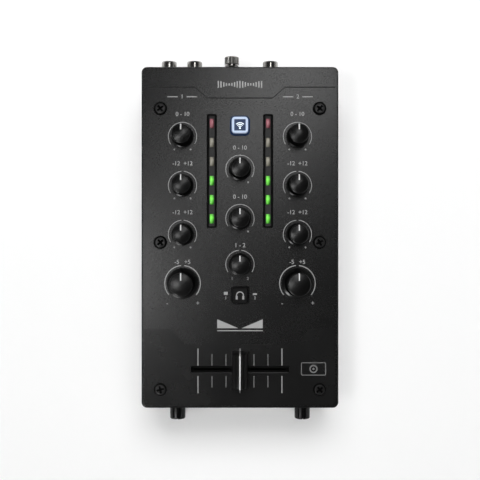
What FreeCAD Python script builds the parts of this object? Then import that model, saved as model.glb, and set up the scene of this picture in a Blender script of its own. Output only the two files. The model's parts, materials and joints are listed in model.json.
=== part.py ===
import FreeCAD, Part
import math
import operator
import os
import Sketcher

# Compact two-channel DJ mixer. Millimetres, +Z up, +Y to the rear edge with the phono sockets,
# +X to the right of the control face. The origin is on the floor, under the middle of the case.

os.makedirs("parts", exist_ok=True)

DIMENSIONS = {
    # Case: a folded steel cover over a moulded tub
    "cover_width": 105.6,
    "cover_length": 183,
    "case_height": 48,
    "cover_skirt": 7,
    "sheet_metal": 1.2,
    "corner_radius": 3,
    "cover_bend": 0.8,
    "foot_height": 3,
    "wall": 2.4,
    "base_round": 2,
    "seam_gap": 0.3,
    "lip_height": 4.3,
    "lip_gap": 0.15,
    "fixed_gap": 0.05,
    "running_gap": 0.05,
    # Groove across the rear of the cover, with a notch round the middle
    "groove_width": 0.6,
    "groove_depth": 0.35,
    "groove_inset": 1.6,
    "groove_y": 80.5,
    "notch_y": 74.7,
    "notch_outer_x": 24,
    "notch_inner_x": 17.5,
    # Cover screws and the bosses that take them
    "screw_x": 42.7,
    "screw_rear_y": 69.1,
    "screw_middle_y": -2.7,
    "screw_front_y": -81.6,
    "dimple_radius": 3.5,
    "dimple_depth": 0.5,
    "cover_head_radius": 2.9,
    "cover_head_height": 1.5,
    "head_washer_radius": 3.4,
    "head_washer": 0.25,
    "cover_shank_radius": 1.45,
    "cover_shank_length": 10,
    "boss_radius": 3.3,
    "boss_bore_depth": 11,
    "insert_radius": 2.2,
    "insert_length": 6,
    # Small screws that hold the boards and the feet
    "small_head_radius": 2.3,
    "small_head_height": 1.5,
    "small_shank_radius": 1.2,
    "small_shank_length": 5,
    # Rubber feet
    "foot_x": 40,
    "foot_rear_y": 78,
    "foot_front_y": -73,
    "foot_radius": 6,
    "foot_recess_radius": 3.2,
    "foot_recess_depth": 1.8,
    # Control board, hung under the cover on spacers
    "board_thickness": 1.6,
    "board_depth": 11,
    "board_width": 77,
    "board_rear_y": 66,
    "board_front_y": -79,
    "spacer_x": 22,
    "spacer_rear_y": 61,
    "spacer_front_y": -46,
    "spacer_radius": 2.75,
    # Rotary controls
    "channel_x": 30.8,
    "gain_y": 54.1,
    "knob_pitch": 26.25,
    "aux_y": 36.5,
    "main_y": 10.1,
    "cue_mix_y": -14.5,
    "pot_width": 9.5,
    "pot_length": 11,
    "pot_height": 6.8,
    "pot_floor": 2,
    "bushing_radius": 4,
    "bushing_height": 2.6,
    "shaft_radius": 3,
    "shaft_hole_radius": 3.6,
    "knob_gap": 0.6,
    "knob_height": 14.4,
    "knob_bore_depth": 10.5,
    "knob_skirt": 0.6,
    "flare_rise": 0.53,
    "crown_edge": 1,
    "crown_rise": 0.5,
    "small_base_radius": 6,
    "small_top_radius": 5.2,
    "small_flare": 0.7,
    "filter_base_radius": 8.3,
    "filter_top_radius": 6.3,
    "filter_flare": 1.4,
    "pointer_start": 1.9,
    "pointer_width": 0.7,
    "pointer_depth": 0.3,
    # Level meters
    "meter_x": 15.1,
    "meter_y": 35.6,
    "meter_width": 5.1,
    "meter_length": 60.8,
    "meter_corner": 0.8,
    "meter_rim": 0.8,
    "meter_channel_depth": 0.8,
    "led_pitch": 10.24,
    "led_width": 2.3,
    "led_length": 5,
    "led_proud": 0.3,
    "led_sunk": 8,
    # Push buttons
    "wireless_y": 59.8,
    "wireless_size": 8.8,
    "wireless_corner": 1.9,
    "wireless_proud": 4,
    "wireless_window": 6.1,
    "wireless_hole_gap": 0.6,
    "wireless_travel": 1,
    "cue_y": -30.9,
    "cue_size": 8.4,
    "cue_corner": 0.8,
    "cue_proud": 4.5,
    "cue_window": 6.8,
    "cue_hole_gap": 0.35,
    "cue_travel": 2,
    "button_flange": 1.4,
    "flange_thickness": 1,
    "flange_gap": 0.1,
    "button_recess": 0.35,
    "button_edge": 0.5,
    "plunger_radius": 1.75,
    "plunger_length": 2.4,
    "switch_size": 11,
    # Crossfader
    "fader_y": -70.8,
    "fader_travel": 45,
    "slot_length": 52.8,
    "slot_width": 3.8,
    "frame_length": 66,
    "frame_width": 15,
    "frame_height": 8.2,
    "frame_sheet": 1,
    "frame_slot_width": 3,
    "rail_radius": 0.9,
    "rail_spread": 4.2,
    "rail_height": 4,
    "carriage_length": 12,
    "carriage_width": 11,
    "carriage_height": 3.6,
    "stem_length": 4,
    "stem_thickness": 1.2,
    "stem_proud": 9,
    "cap_gap": 1,
    "cap_width": 8.4,
    "cap_length": 20,
    "cap_height": 11.4,
    "cap_side_height": 5.8,
    "cap_draft": 0.3,
    "cap_waist": 4.8,
    "cap_waist_height": 8.2,
    "cap_ridge": 2.2,
    "cap_end_slope": 1.4,
    # Front edge: two knobs and two headphone sockets on their own board
    "front_knob_x": 34.8,
    "front_axis_z": 28,
    "front_board_width": 77,
    "front_board_length": 26,
    "front_board_top": 21,
    "front_pot_width": 9,
    "front_pot_length": 8,
    "front_bushing_radius": 3.6,
    "front_knob_radius": 4.25,
    "front_knob_reach": 9.5,
    "front_bore_depth": 7,
    "flute_radius": 0.55,
    "phones_x": 11,
    "phones_width": 15,
    "phones_length": 25,
    "phones_nose_radius": 5.3,
    "phones_bore_radius": 3.2,
    "phones_nut_radius": 7.2,
    "mini_width": 8,
    "mini_length": 13,
    "mini_nose_radius": 2.9,
    "mini_bore_radius": 1.8,
    "mini_nut_radius": 4.1,
    "nose_proud": 2.2,
    "nut_thickness": 1.6,
    "front_post_x": 24,
    "front_post_y": -68,
    # Rear edge: phono sockets, ground post, aux and USB sockets on their own board
    "phono_a_x": -39,
    "phono_b_x": -25,
    "phono_out_x": 16.7,
    "phono_upper_z": 35,
    "phono_lower_z": 21,
    "phono_width": 13.2,
    "phono_depth": 11,
    "phono_top": 42.5,
    "shell_radius": 4.15,
    "shell_neck_radius": 3.4,
    "shell_wall": 0.6,
    "shell_reach": 5.1,
    "shell_chamfer": 0.5,
    "shell_seat": 4,
    "insulator_recess": 1,
    "centre_bore_radius": 1.7,
    "centre_bore_depth": 9,
    "rear_board_width": 95,
    "rear_board_length": 26,
    "rear_board_top": 13,
    "rear_post_x": 24,
    "rear_post_y": 67,
    "post_radius": 3,
    "aux_socket_x": 5,
    "aux_socket_z": 17,
    "usb_x": 36,
    "usb_width": 8.94,
    "usb_height": 3.26,
    "usb_length": 10.5,
    "usb_shell": 0.3,
    "usb_tongue_width": 6.7,
    "usb_tongue_height": 0.7,
    "ground_x": -4.6,
    "ground_z": 27,
    "stud_radius": 2,
    "stud_flange_radius": 4.5,
    "stud_flange": 2,
    "stud_reach": 8.6,
    "ground_nut_reach": 9.5,
    "ground_nut_radius": 4,
    "ground_nut_length": 5.2,
    "ground_neck_radius": 2.7,
    "ground_neck_length": 1,
    "knurl_depth": 0.35,
    "washer_radius": 3.8,
    "washer_thickness": 0.8,
    # Ribbon cables between the boards
    "ribbon_width": 12,
    "ribbon_thickness": 0.8,
    "ribbon_bulge": 6,
    "ribbon_lead": 3.5,
    "ribbon_rear_x": -6,
    "ribbon_rear_y": 64,
    "ribbon_front_x": -24,
    "ribbon_front_y": -64,
}

ZERO_TOLERANCE = 1e-6
UPRIGHT = FreeCAD.Rotation()
REARWARD = FreeCAD.Rotation(FreeCAD.Vector(1, 0, 0), -90)
FORWARD = FreeCAD.Rotation(FreeCAD.Vector(1, 0, 0), 90)
SIDEWAYS = FreeCAD.Rotation(FreeCAD.Vector(0, 1, 0), 90)
SIDES = {"a": -1, "b": 1}
OPERATORS = {"+": operator.add, "-": operator.sub, "*": operator.mul, "/": operator.truediv}

doc = FreeCAD.newDocument("dj_mixer")
sheet = doc.addObject("Spreadsheet::Sheet", "dims")
for row, (alias, number) in enumerate(DIMENSIONS.items(), 1):
    sheet.set(f"A{row}", alias)
    sheet.set(f"B{row}", str(number))
    sheet.setAlias(f"B{row}", alias)
doc.recompute()


class Size:
    """A length that carries its number and the sheet formula that gives it."""

    def __init__(self, value, formula):
        self.value = value
        self.formula = formula

    def __add__(self, other):
        return join(self, "+", other)

    def __radd__(self, other):
        return join(other, "+", self)

    def __sub__(self, other):
        return join(self, "-", other)

    def __rsub__(self, other):
        return join(other, "-", self)

    def __mul__(self, other):
        return join(self, "*", other)

    def __rmul__(self, other):
        return join(other, "*", self)

    def __truediv__(self, other):
        return join(self, "/", other)


class Dims:
    """Gives each cell of the sheet as a Size, by its alias."""

    def __getattr__(self, alias):
        return Size(float(sheet.get(alias)), f"dims.{alias}")


def as_size(value):
    return value if isinstance(value, Size) else Size(value, f"({value})")


def join(left, sign, right):
    left, right = as_size(left), as_size(right)
    return Size(OPERATORS[sign](left.value, right.value), f"({left.formula} {sign} {right.formula})")


def bind(item, prop, size):
    item.setExpression(prop, as_size(size).formula)


def place(item, at, turn=UPRIGHT):
    item.Placement = FreeCAD.Placement(FreeCAD.Vector(), turn)
    for axis, coordinate in zip("xyz", at):
        bind(item, f"Placement.Base.{axis}", coordinate)
    return item


# Part primitives and booleans

def block(width, length, height, at):
    """A box whose bottom face is centred on a point."""
    item = doc.addObject("Part::Box", "block")
    for prop, size in (("Length", width), ("Width", length), ("Height", height)):
        bind(item, prop, size)
    return place(item, (at[0] - width / 2, at[1] - length / 2, at[2]))


def rod(radius, length, start, turn=UPRIGHT):
    item = doc.addObject("Part::Cylinder", "rod")
    bind(item, "Radius", radius)
    bind(item, "Height", length)
    return place(item, start, turn)


def fuse(*pieces):
    item = doc.addObject("Part::MultiFuse", "fuse")
    item.Shapes = list(pieces)
    return item


def cut(base, *tools):
    item = doc.addObject("Part::Cut", "cut")
    item.Base = base
    item.Tool = tools[0] if len(tools) == 1 else fuse(*tools)
    return item


# PartDesign bodies

def new_body(name, at, turn=UPRIGHT):
    return place(doc.addObject("PartDesign::Body", name), at, turn)


def new_sketch(body, role, height=0):
    """A sketch on one of the body's own origin planes, lifted along that plane's normal."""
    sketch = body.newObject("Sketcher::SketchObject", f"{body.Name}_sketch")
    plane = next(feature for feature in body.Origin.OriginFeatures if feature.Role == role)
    sketch.AttachmentSupport = [(plane, "")]
    sketch.MapMode = "FlatFace"
    bind(sketch, "AttachmentOffset.Base.z", height)
    return sketch


def dimension(sketch, *constraint, size):
    number = sketch.addConstraint(Sketcher.Constraint(*constraint, size.value))
    sketch.setExpression(f"Constraints[{number}]", size.formula)


def pin(sketch, geometry, point, at):
    """Holds a sketch point at a place measured from the sketch's origin."""
    for kind, axis, coordinate in (("DistanceX", -2, as_size(at[0])), ("DistanceY", -1, as_size(at[1]))):
        if abs(coordinate.value) < ZERO_TOLERANCE:
            sketch.addConstraint(Sketcher.Constraint("PointOnObject", geometry, point, axis))
        else:
            dimension(sketch, kind, -1, 1, geometry, point, size=coordinate)


def vector(at):
    return FreeCAD.Vector(as_size(at[0]).value, as_size(at[1]).value, 0)


def outline(sketch, corners):
    """Draws a closed polygon through its corners."""
    first = sketch.GeometryCount
    count = len(corners)
    for step in range(count):
        sketch.addGeometry(Part.LineSegment(vector(corners[step]), vector(corners[(step + 1) % count])))
    for step in range(count):
        following = first + (step + 1) % count
        sketch.addConstraint(Sketcher.Constraint("Coincident", first + step, 2, following, 1))
        pin(sketch, first + step, 1, corners[step])


def rectangle(sketch, width, length, middle=(0, 0)):
    right, left = middle[0] + width / 2, middle[0] - width / 2
    rear, front = middle[1] + length / 2, middle[1] - length / 2
    outline(sketch, [(left, front), (right, front), (right, rear), (left, rear)])


def circle(sketch, radius, middle=(0, 0)):
    normal = FreeCAD.Vector(0, 0, 1)
    geometry = sketch.addGeometry(Part.Circle(vector(middle), normal, radius.value))
    pin(sketch, geometry, 3, middle)
    dimension(sketch, "Radius", geometry, size=radius)


def extrude(body, kind, sketch, length, backward=False):
    feature = body.newObject(f"PartDesign::{kind}", f"{body.Name}_{kind.lower()}")
    feature.Profile = sketch
    feature.Reversed = backward
    bind(feature, "Length", length)
    return feature


def revolve(body, corners):
    """Turns a half section, given as (radius, height) corners, about the body's own Z axis."""
    sketch = new_sketch(body, "XZ_Plane")
    outline(sketch, corners)
    feature = body.newObject("PartDesign::Revolution", f"{body.Name}_revolution")
    feature.Profile = sketch
    feature.ReferenceAxis = (sketch, ["V_Axis"])
    feature.Angle = 360
    return feature


def repeat_round(body, feature, sketch, count):
    pattern = body.newObject("PartDesign::PolarPattern", f"{body.Name}_pattern")
    pattern.Originals = [feature]
    pattern.Axis = (sketch, ["N_Axis"])
    pattern.Angle = 360
    pattern.Occurrences = count
    body.Tip = pattern


def round_edges(body, base, radius, wanted):
    """Fillets the edges of a feature that pass a test."""
    doc.recompute()
    feature = body.newObject("PartDesign::Fillet", f"{body.Name}_fillet")
    feature.Base = (base, [f"Edge{n}" for n, edge in enumerate(base.Shape.Edges, 1) if wanted(edge)])
    bind(feature, "Radius", radius)
    return feature


def is_upright(edge):
    return edge.BoundBox.XLength < ZERO_TOLERANCE and edge.BoundBox.YLength < ZERO_TOLERANCE


def lies_at(height):
    def wanted(edge):
        box = edge.BoundBox
        return box.ZLength < ZERO_TOLERANCE and abs(box.ZMin - height.value) < ZERO_TOLERANCE
    return wanted


def rounded_block(body, width, length, height, corner, start=0):
    """Pads a rectangle with round upright corners onto a body that has no other upright edges yet."""
    sketch = new_sketch(body, "XY_Plane", start)
    rectangle(sketch, width, length)
    return round_edges(body, extrude(body, "Pad", sketch, height), corner, is_upright)


def rounded_outline(sketch, width, length, corner, middle=(0, 0)):
    """Draws a rectangle with round corners."""
    first = sketch.GeometryCount
    across, along = width / 2 - corner, length / 2 - corner
    quarter = math.pi / 2
    spots = [(1, 1), (-1, 1), (-1, -1), (1, -1)]
    centres = [(middle[0] + x * across, middle[1] + y * along) for x, y in spots]
    normal = FreeCAD.Vector(0, 0, 1)
    for turn, centre in enumerate(centres):
        disc = Part.Circle(vector(centre), normal, corner.value)
        sketch.addGeometry(Part.ArcOfCircle(disc, turn * quarter, (turn + 1) * quarter))
    for turn in range(4):
        start = sketch.getPoint(first + turn, 2)
        end = sketch.getPoint(first + (turn + 1) % 4, 1)
        sketch.addGeometry(Part.LineSegment(start, end))
    for turn, centre in enumerate(centres):
        line = first + 4 + turn
        sketch.addConstraint(Sketcher.Constraint("Tangent", first + turn, 2, line, 1))
        sketch.addConstraint(Sketcher.Constraint("Tangent", line, 2, first + (turn + 1) % 4, 1))
        pin(sketch, first + turn, 3, centre)
        dimension(sketch, "Radius", first + turn, size=corner)


# Finished sub-parts, by the name of their file

subparts = {}


def keep(label, *solids):
    """Names a finished sub-part: one object, or a group of like solids."""
    item = solids[0]
    if len(solids) > 1:
        item = doc.addObject("Part::Compound", label)
        item.Links = list(solids)
    item.Label = label
    subparts[label] = item


def screw(name, at, turn, head_radius, head_height, shank_radius, shank_length, washer=()):
    """A pan-head screw with a cross recess, its head on the +Z side of its seat. A washer formed with
    the head is given as its radius and thickness."""
    body = new_body(name, at, turn)
    seat = [(head_radius, 0)]
    if washer:
        radius, thickness = washer
        seat = [(radius, 0), (radius, thickness), (head_radius, thickness)]
    revolve(body, [
        (0, 0 - shank_length),
        (shank_radius, 0 - shank_length),
        (shank_radius, 0),
        *seat,
        (head_radius, head_height * 0.5),
        (head_radius * 0.7, head_height),
        (0, head_height),
    ])
    sketch = new_sketch(body, "XY_Plane", head_height)
    arm, half = head_radius * 0.6, head_radius * 0.15
    outline(sketch, [
        (arm, half), (half, half), (half, arm), (0 - half, arm), (0 - half, half), (0 - arm, half),
        (0 - arm, 0 - half), (0 - half, 0 - half), (0 - half, 0 - arm), (half, 0 - arm), (half, 0 - half),
        (arm, 0 - half),
    ])
    extrude(body, "Pocket", sketch, head_height * 0.6)
    return body


def small_screw(name, at, turn=UPRIGHT):
    return screw(name, at, turn, d.small_head_radius, d.small_head_height, d.small_shank_radius,
                 d.small_shank_length)


d = Dims()

cover_base = d.case_height - d.cover_skirt
cover_underside = d.case_height - d.sheet_metal
floor_top = d.foot_height + d.wall
board_top = d.case_height - d.board_depth
board_base = board_top - d.board_thickness
wall_outside = d.cover_length / 2
wall_inside = wall_outside - d.wall
screw_places = [(side * d.screw_x, y) for side in SIDES.values()
                for y in (d.screw_rear_y, d.screw_middle_y, d.screw_front_y)]
foot_places = [(side * d.foot_x, y) for side in SIDES.values() for y in (d.foot_rear_y, d.foot_front_y)]
spacer_places = [(side * d.spacer_x, y) for side in SIDES.values()
                 for y in (d.spacer_rear_y, d.spacer_front_y)]
rear_post_places = [(side * d.rear_post_x, d.rear_post_y) for side in SIDES.values()]
front_post_places = [(side * d.front_post_x, d.front_post_y) for side in SIDES.values()]
phono_columns = [d.phono_a_x, d.phono_b_x, d.phono_out_x]
phono_places = [(x, z) for x in phono_columns for z in (d.phono_upper_z, d.phono_lower_z)]
led_rows = {"red_leds": [0], "amber_leds": [1, 2], "green_leds": [3, 4, 5]}

controls = {}
for letter, side in SIDES.items():
    for step, function in enumerate(("gain", "treble", "bass", "filter")):
        controls[f"{function}_{{}}_{letter}"] = (side * d.channel_x, d.gain_y - step * d.knob_pitch)
controls["aux_{}"] = (as_size(0), d.aux_y)
controls["main_{}"] = (as_size(0), d.main_y)
controls["cue_mix_{}"] = (as_size(0), d.cue_mix_y)


# Case

def top_cover():
    body = new_body("top_cover", (0, 0, cover_base))
    shell = rounded_block(body, d.cover_width, d.cover_length, d.cover_skirt, d.corner_radius)
    round_edges(body, shell, d.cover_bend, lies_at(d.cover_skirt))
    sketch = new_sketch(body, "XY_Plane")
    rounded_outline(sketch, d.cover_width - 2 * d.sheet_metal, d.cover_length - 2 * d.sheet_metal,
                    d.corner_radius - d.sheet_metal)
    extrude(body, "Pocket", sketch, d.cover_skirt - d.sheet_metal, backward=True)
    sketch = new_sketch(body, "XY_Plane", d.cover_skirt)
    for spot in controls.values():
        circle(sketch, d.shaft_hole_radius, spot)
    for spot in screw_places:
        circle(sketch, d.cover_shank_radius + 2 * d.fixed_gap, spot)
    for side in SIDES.values():
        rounded_outline(sketch, d.meter_width, d.meter_length, d.meter_corner, (side * d.meter_x, d.meter_y))
    for size, gap, corner, y in ((d.wireless_size, d.wireless_hole_gap, d.wireless_corner, d.wireless_y),
                                 (d.cue_size, d.cue_hole_gap, d.cue_corner, d.cue_y)):
        rounded_outline(sketch, size + 2 * gap, size + 2 * gap, corner + gap, (0, y))
    rounded_outline(sketch, d.slot_length, d.slot_width, d.meter_corner, (0, d.fader_y))
    extrude(body, "Pocket", sketch, 2 * d.sheet_metal)
    sketch = new_sketch(body, "XY_Plane", d.cover_skirt)
    for spot in screw_places:
        circle(sketch, d.dimple_radius, spot)
    extrude(body, "Pocket", sketch, d.dimple_depth)
    sketch = new_sketch(body, "XY_Plane", d.cover_skirt)
    half_path = [(d.notch_inner_x, d.notch_y), (d.notch_outer_x, d.groove_y),
                 (d.cover_width / 2 - d.groove_inset, d.groove_y)]
    path = [(0 - x, y) for x, y in reversed(half_path)] + half_path
    half = d.groove_width / 2
    outline(sketch, [(x, y - half) for x, y in path] + [(x, y + half) for x, y in reversed(path)])
    extrude(body, "Pocket", sketch, d.groove_depth)
    keep("top_cover", body)


def lower_housing():
    body = new_body("lower_housing", (0, 0, d.foot_height))
    height = cover_base - d.seam_gap - d.foot_height
    tub = rounded_block(body, d.cover_width, d.cover_length, height, d.corner_radius)
    round_edges(body, tub, d.base_round, lies_at(as_size(0)))
    inset = 2 * (d.sheet_metal + d.lip_gap)
    sketch = new_sketch(body, "XY_Plane", height)
    rounded_outline(sketch, d.cover_width - inset, d.cover_length - inset, d.corner_radius - d.sheet_metal)
    extrude(body, "Pad", sketch, d.lip_height)
    sketch = new_sketch(body, "XY_Plane", height + d.lip_height)
    rounded_outline(sketch, d.cover_width - 2 * d.wall, d.cover_length - 2 * d.wall,
                    d.corner_radius - d.sheet_metal)
    extrude(body, "Pocket", sketch, height + d.lip_height - d.wall)

    post_groups = ((screw_places, d.boss_radius, cover_underside),
                   (rear_post_places, d.post_radius, d.rear_board_top - d.board_thickness),
                   (front_post_places, d.post_radius, d.front_board_top - d.board_thickness))
    for spots, radius, top in post_groups:
        sketch = new_sketch(body, "XY_Plane", d.wall)
        for spot in spots:
            circle(sketch, radius, spot)
        extrude(body, "Pad", sketch, top - floor_top)
    hole = d.small_shank_radius + d.fixed_gap
    hole_groups = ((screw_places, d.insert_radius + d.fixed_gap, cover_underside, d.boss_bore_depth),
                   (rear_post_places, hole, d.rear_board_top - d.board_thickness, d.small_shank_length),
                   (front_post_places, hole, d.front_board_top - d.board_thickness, d.small_shank_length),
                   (foot_places, hole, floor_top, 2 * d.wall))
    for spots, radius, top, depth in hole_groups:
        sketch = new_sketch(body, "XY_Plane", top - d.foot_height)
        for spot in spots:
            circle(sketch, radius, spot)
        extrude(body, "Pocket", sketch, depth)

    sketch = new_sketch(body, "XZ_Plane", 0 - wall_inside)
    for x, z in phono_places:
        circle(sketch, d.shell_radius + d.cue_hole_gap, (x, z - d.foot_height))
    circle(sketch, d.stud_radius + d.fixed_gap, (d.ground_x, d.ground_z - d.foot_height))
    circle(sketch, d.mini_nose_radius + 2 * d.fixed_gap, (d.aux_socket_x, d.aux_socket_z - d.foot_height))
    usb_middle = (d.usb_x, d.rear_board_top + d.usb_height / 2 - d.foot_height)
    rounded_outline(sketch, d.usb_width + d.usb_shell, d.usb_height + d.usb_shell, d.usb_height / 2,
                    usb_middle)
    extrude(body, "Pocket", sketch, d.wall)
    sketch = new_sketch(body, "XZ_Plane", wall_inside)
    axis_height = d.front_axis_z - d.foot_height
    for side in SIDES.values():
        circle(sketch, d.front_bushing_radius + 2 * d.fixed_gap, (side * d.front_knob_x, axis_height))
    circle(sketch, d.phones_nose_radius + 2 * d.fixed_gap, (d.phones_x, axis_height))
    circle(sketch, d.mini_nose_radius + 2 * d.fixed_gap, (0 - d.phones_x, axis_height))
    extrude(body, "Pocket", sketch, d.wall, backward=True)
    keep("lower_housing", body)


def case_fasteners():
    seat = d.case_height - d.dimple_depth
    washer = (d.head_washer_radius, d.head_washer)
    keep("cover_screws", *[screw("cover_screw", (x, y, seat), UPRIGHT, d.cover_head_radius,
                                 d.cover_head_height, d.cover_shank_radius, d.cover_shank_length, washer)
                           for x, y in screw_places])
    inserts = []
    for x, y in screw_places:
        base = (x, y, cover_underside - d.insert_length)
        bore = rod(d.cover_shank_radius + d.fixed_gap, d.insert_length, base)
        inserts.append(cut(rod(d.insert_radius, d.insert_length, base), bore))
    keep("screw_inserts", *inserts)
    inner = [small_screw("board_screw", (x, y, d.rear_board_top)) for x, y in rear_post_places]
    inner += [small_screw("board_screw", (x, y, d.front_board_top)) for x, y in front_post_places]
    upside_down = FreeCAD.Rotation(FreeCAD.Vector(1, 0, 0), 180)
    inner += [small_screw("board_screw", (x, y, board_base), upside_down) for x, y in spacer_places]
    inner += [small_screw("foot_screw", (x, y, d.foot_recess_depth), upside_down) for x, y in foot_places]
    keep("inner_screws", *inner)


def rubber_feet():
    feet = []
    hole = d.small_shank_radius + d.fixed_gap
    for x, y in foot_places:
        foot = new_body("foot", (x, y, 0))
        revolve(foot, [
            (d.foot_recess_radius, 0),
            (d.foot_radius, 0),
            (d.foot_radius, d.foot_height),
            (hole, d.foot_height),
            (hole, d.foot_recess_depth),
            (d.foot_recess_radius, d.foot_recess_depth),
        ])
        feet.append(foot)
    keep("rubber_feet", *feet)


# Control board and what stands on it

def control_board():
    body = new_body("control_board", (0, 0, board_base))
    sketch = new_sketch(body, "XY_Plane")
    middle = (d.board_rear_y + d.board_front_y) / 2
    rectangle(sketch, d.board_width, d.board_rear_y - d.board_front_y, (0, middle))
    for spot in spacer_places:
        circle(sketch, d.small_shank_radius + d.fixed_gap, spot)
    extrude(body, "Pad", sketch, d.board_thickness)
    keep("control_board", body)
    spacers = []
    for x, y in spacer_places:
        post = rod(d.spacer_radius, cover_underside - board_top, (x, y, board_top))
        bore = rod(d.small_shank_radius + d.fixed_gap, d.small_shank_length, (x, y, board_top))
        spacers.append(cut(post, bore))
    keep("board_spacers", *spacers)


def knob(label, spot, base_radius, top_radius, flare):
    """A tapered knob with a flared skirt, a low crown and a pointer groove out to its rear edge."""
    body = new_body(label, (*spot, d.case_height + d.knob_gap))
    crown_base = d.knob_height - d.crown_rise
    turned = revolve(body, [
        (0, 0),
        (base_radius, 0),
        (base_radius, d.knob_skirt),
        (base_radius - flare, d.knob_skirt + flare * d.flare_rise),
        (top_radius, crown_base),
        (0, d.knob_height),
    ])
    round_edges(body, turned, d.crown_edge, lies_at(crown_base))
    sketch = new_sketch(body, "XY_Plane")
    circle(sketch, d.shaft_radius + d.fixed_gap)
    extrude(body, "Pocket", sketch, d.knob_bore_depth, backward=True)
    sketch = new_sketch(body, "XY_Plane", d.knob_height)
    middle = (base_radius + d.pointer_start) / 2
    rectangle(sketch, d.pointer_width, base_radius - d.pointer_start, (0, middle))
    extrude(body, "Pocket", sketch, d.crown_rise + d.pointer_depth)
    keep(label, body)


def rotary_controls():
    pots = []
    shaft_base = board_top + d.pot_floor + d.running_gap
    shaft_top = d.case_height + d.knob_gap + d.knob_bore_depth - d.knob_gap / 2
    for name, spot in controls.items():
        floor = (*spot, board_top + d.pot_floor)
        body = fuse(block(d.pot_width, d.pot_length, d.pot_height, (*spot, board_top)),
                    rod(d.bushing_radius, d.pot_height + d.bushing_height, (*spot, board_top)))
        bore = rod(d.shaft_radius + d.running_gap, d.pot_height + d.bushing_height, floor)
        pots.append(cut(body, bore))
        keep(name.format("shaft"), rod(d.shaft_radius, shaft_top - shaft_base, (*spot, shaft_base)))
        if name.startswith("filter"):
            knob(name.format("knob"), spot, d.filter_base_radius, d.filter_top_radius, d.filter_flare)
        else:
            knob(name.format("knob"), spot, d.small_base_radius, d.small_top_radius, d.small_flare)
    keep("pot_bodies", *pots)


def level_meters():
    holders = []
    height = d.case_height - board_top - d.fixed_gap
    rows_from_middle = 2.5
    gap = 2 * d.fixed_gap
    for side in SIDES.values():
        body = new_body("meter_holder", (side * d.meter_x, d.meter_y, board_top))
        rounded_block(body, d.meter_width - gap, d.meter_length - gap, height, d.meter_corner)
        sketch = new_sketch(body, "XY_Plane", height)
        rectangle(sketch, d.meter_width - 2 * d.meter_rim, d.meter_length - 2 * d.meter_rim)
        extrude(body, "Pocket", sketch, d.meter_channel_depth)
        sketch = new_sketch(body, "XY_Plane", height)
        for row in range(6):
            row_y = (rows_from_middle - row) * d.led_pitch
            rectangle(sketch, d.led_width + gap, d.led_length + gap, (0, row_y))
        extrude(body, "Pocket", sketch, d.led_sunk + d.meter_channel_depth)
        holders.append(body)
    keep("meter_holders", *holders)
    base = board_top + height - d.meter_channel_depth - d.led_sunk
    for label, rows in led_rows.items():
        keep(label, *[block(d.led_width, d.led_length, d.led_sunk + d.led_proud,
                            (side * d.meter_x, d.meter_y + (rows_from_middle - row) * d.led_pitch, base))
                      for side in SIDES.values() for row in rows])


def push_button(name, y, size, corner, proud, window, travel):
    """A square cap with a recessed top, a flange under the cover, and a plunger over its switch."""
    flange_top = cover_underside - d.flange_gap
    flange_base = flange_top - d.flange_thickness
    body = new_body(f"{name}_button", (0, y, flange_base))
    height = d.case_height + proud - flange_base
    cap = rounded_block(body, size, size, height, corner)
    round_edges(body, cap, d.button_edge, lies_at(height))
    sketch = new_sketch(body, "XY_Plane")
    rectangle(sketch, size + 2 * d.button_flange, size + 2 * d.button_flange)
    extrude(body, "Pad", sketch, d.flange_thickness)
    sketch = new_sketch(body, "XY_Plane")
    circle(sketch, d.plunger_radius)
    extrude(body, "Pad", sketch, d.plunger_length, backward=True)
    sketch = new_sketch(body, "XY_Plane", height)
    rectangle(sketch, window, window)
    extrude(body, "Pocket", sketch, d.button_recess)
    keep(f"{name}_button", body)
    switch_height = flange_base - d.plunger_length - travel - d.flange_gap - board_top
    keep(f"{name}_switch", block(d.switch_size, d.switch_size, switch_height, (as_size(0), y, board_top)))


# Crossfader

def crossfader():
    middle = (as_size(0), d.fader_y)
    inside = d.frame_length - 2 * d.frame_sheet
    frame = block(d.frame_length, d.frame_width, d.frame_height, (*middle, board_top))
    room = block(inside, d.frame_width - 2 * d.frame_sheet, d.frame_height - 2 * d.frame_sheet,
                 (*middle, board_top + d.frame_sheet))
    top_slot = block(d.fader_travel + d.stem_length + d.cap_gap, d.frame_slot_width, d.frame_height,
                     (*middle, board_top + d.frame_sheet))
    rail_z = board_top + d.rail_height

    def along_rails(radius, length):
        return [rod(radius, length, (0 - length / 2, d.fader_y + side * d.rail_spread, rail_z), SIDEWAYS)
                for side in SIDES.values()]

    keep("fader_frame", cut(frame, room, top_slot, *along_rails(d.rail_radius + d.fixed_gap, d.frame_length)))
    keep("fader_rails", *along_rails(d.rail_radius, d.frame_length))
    carriage_base = rail_z - d.carriage_height / 2
    stem_height = d.case_height + d.stem_proud - rail_z
    carriage = fuse(block(d.carriage_length, d.carriage_width, d.carriage_height, (*middle, carriage_base)),
                    block(d.stem_length, d.stem_thickness, stem_height, (*middle, rail_z)))
    keep("fader_carriage", cut(carriage, *along_rails(d.rail_radius + d.running_gap, d.frame_length)))


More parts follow.
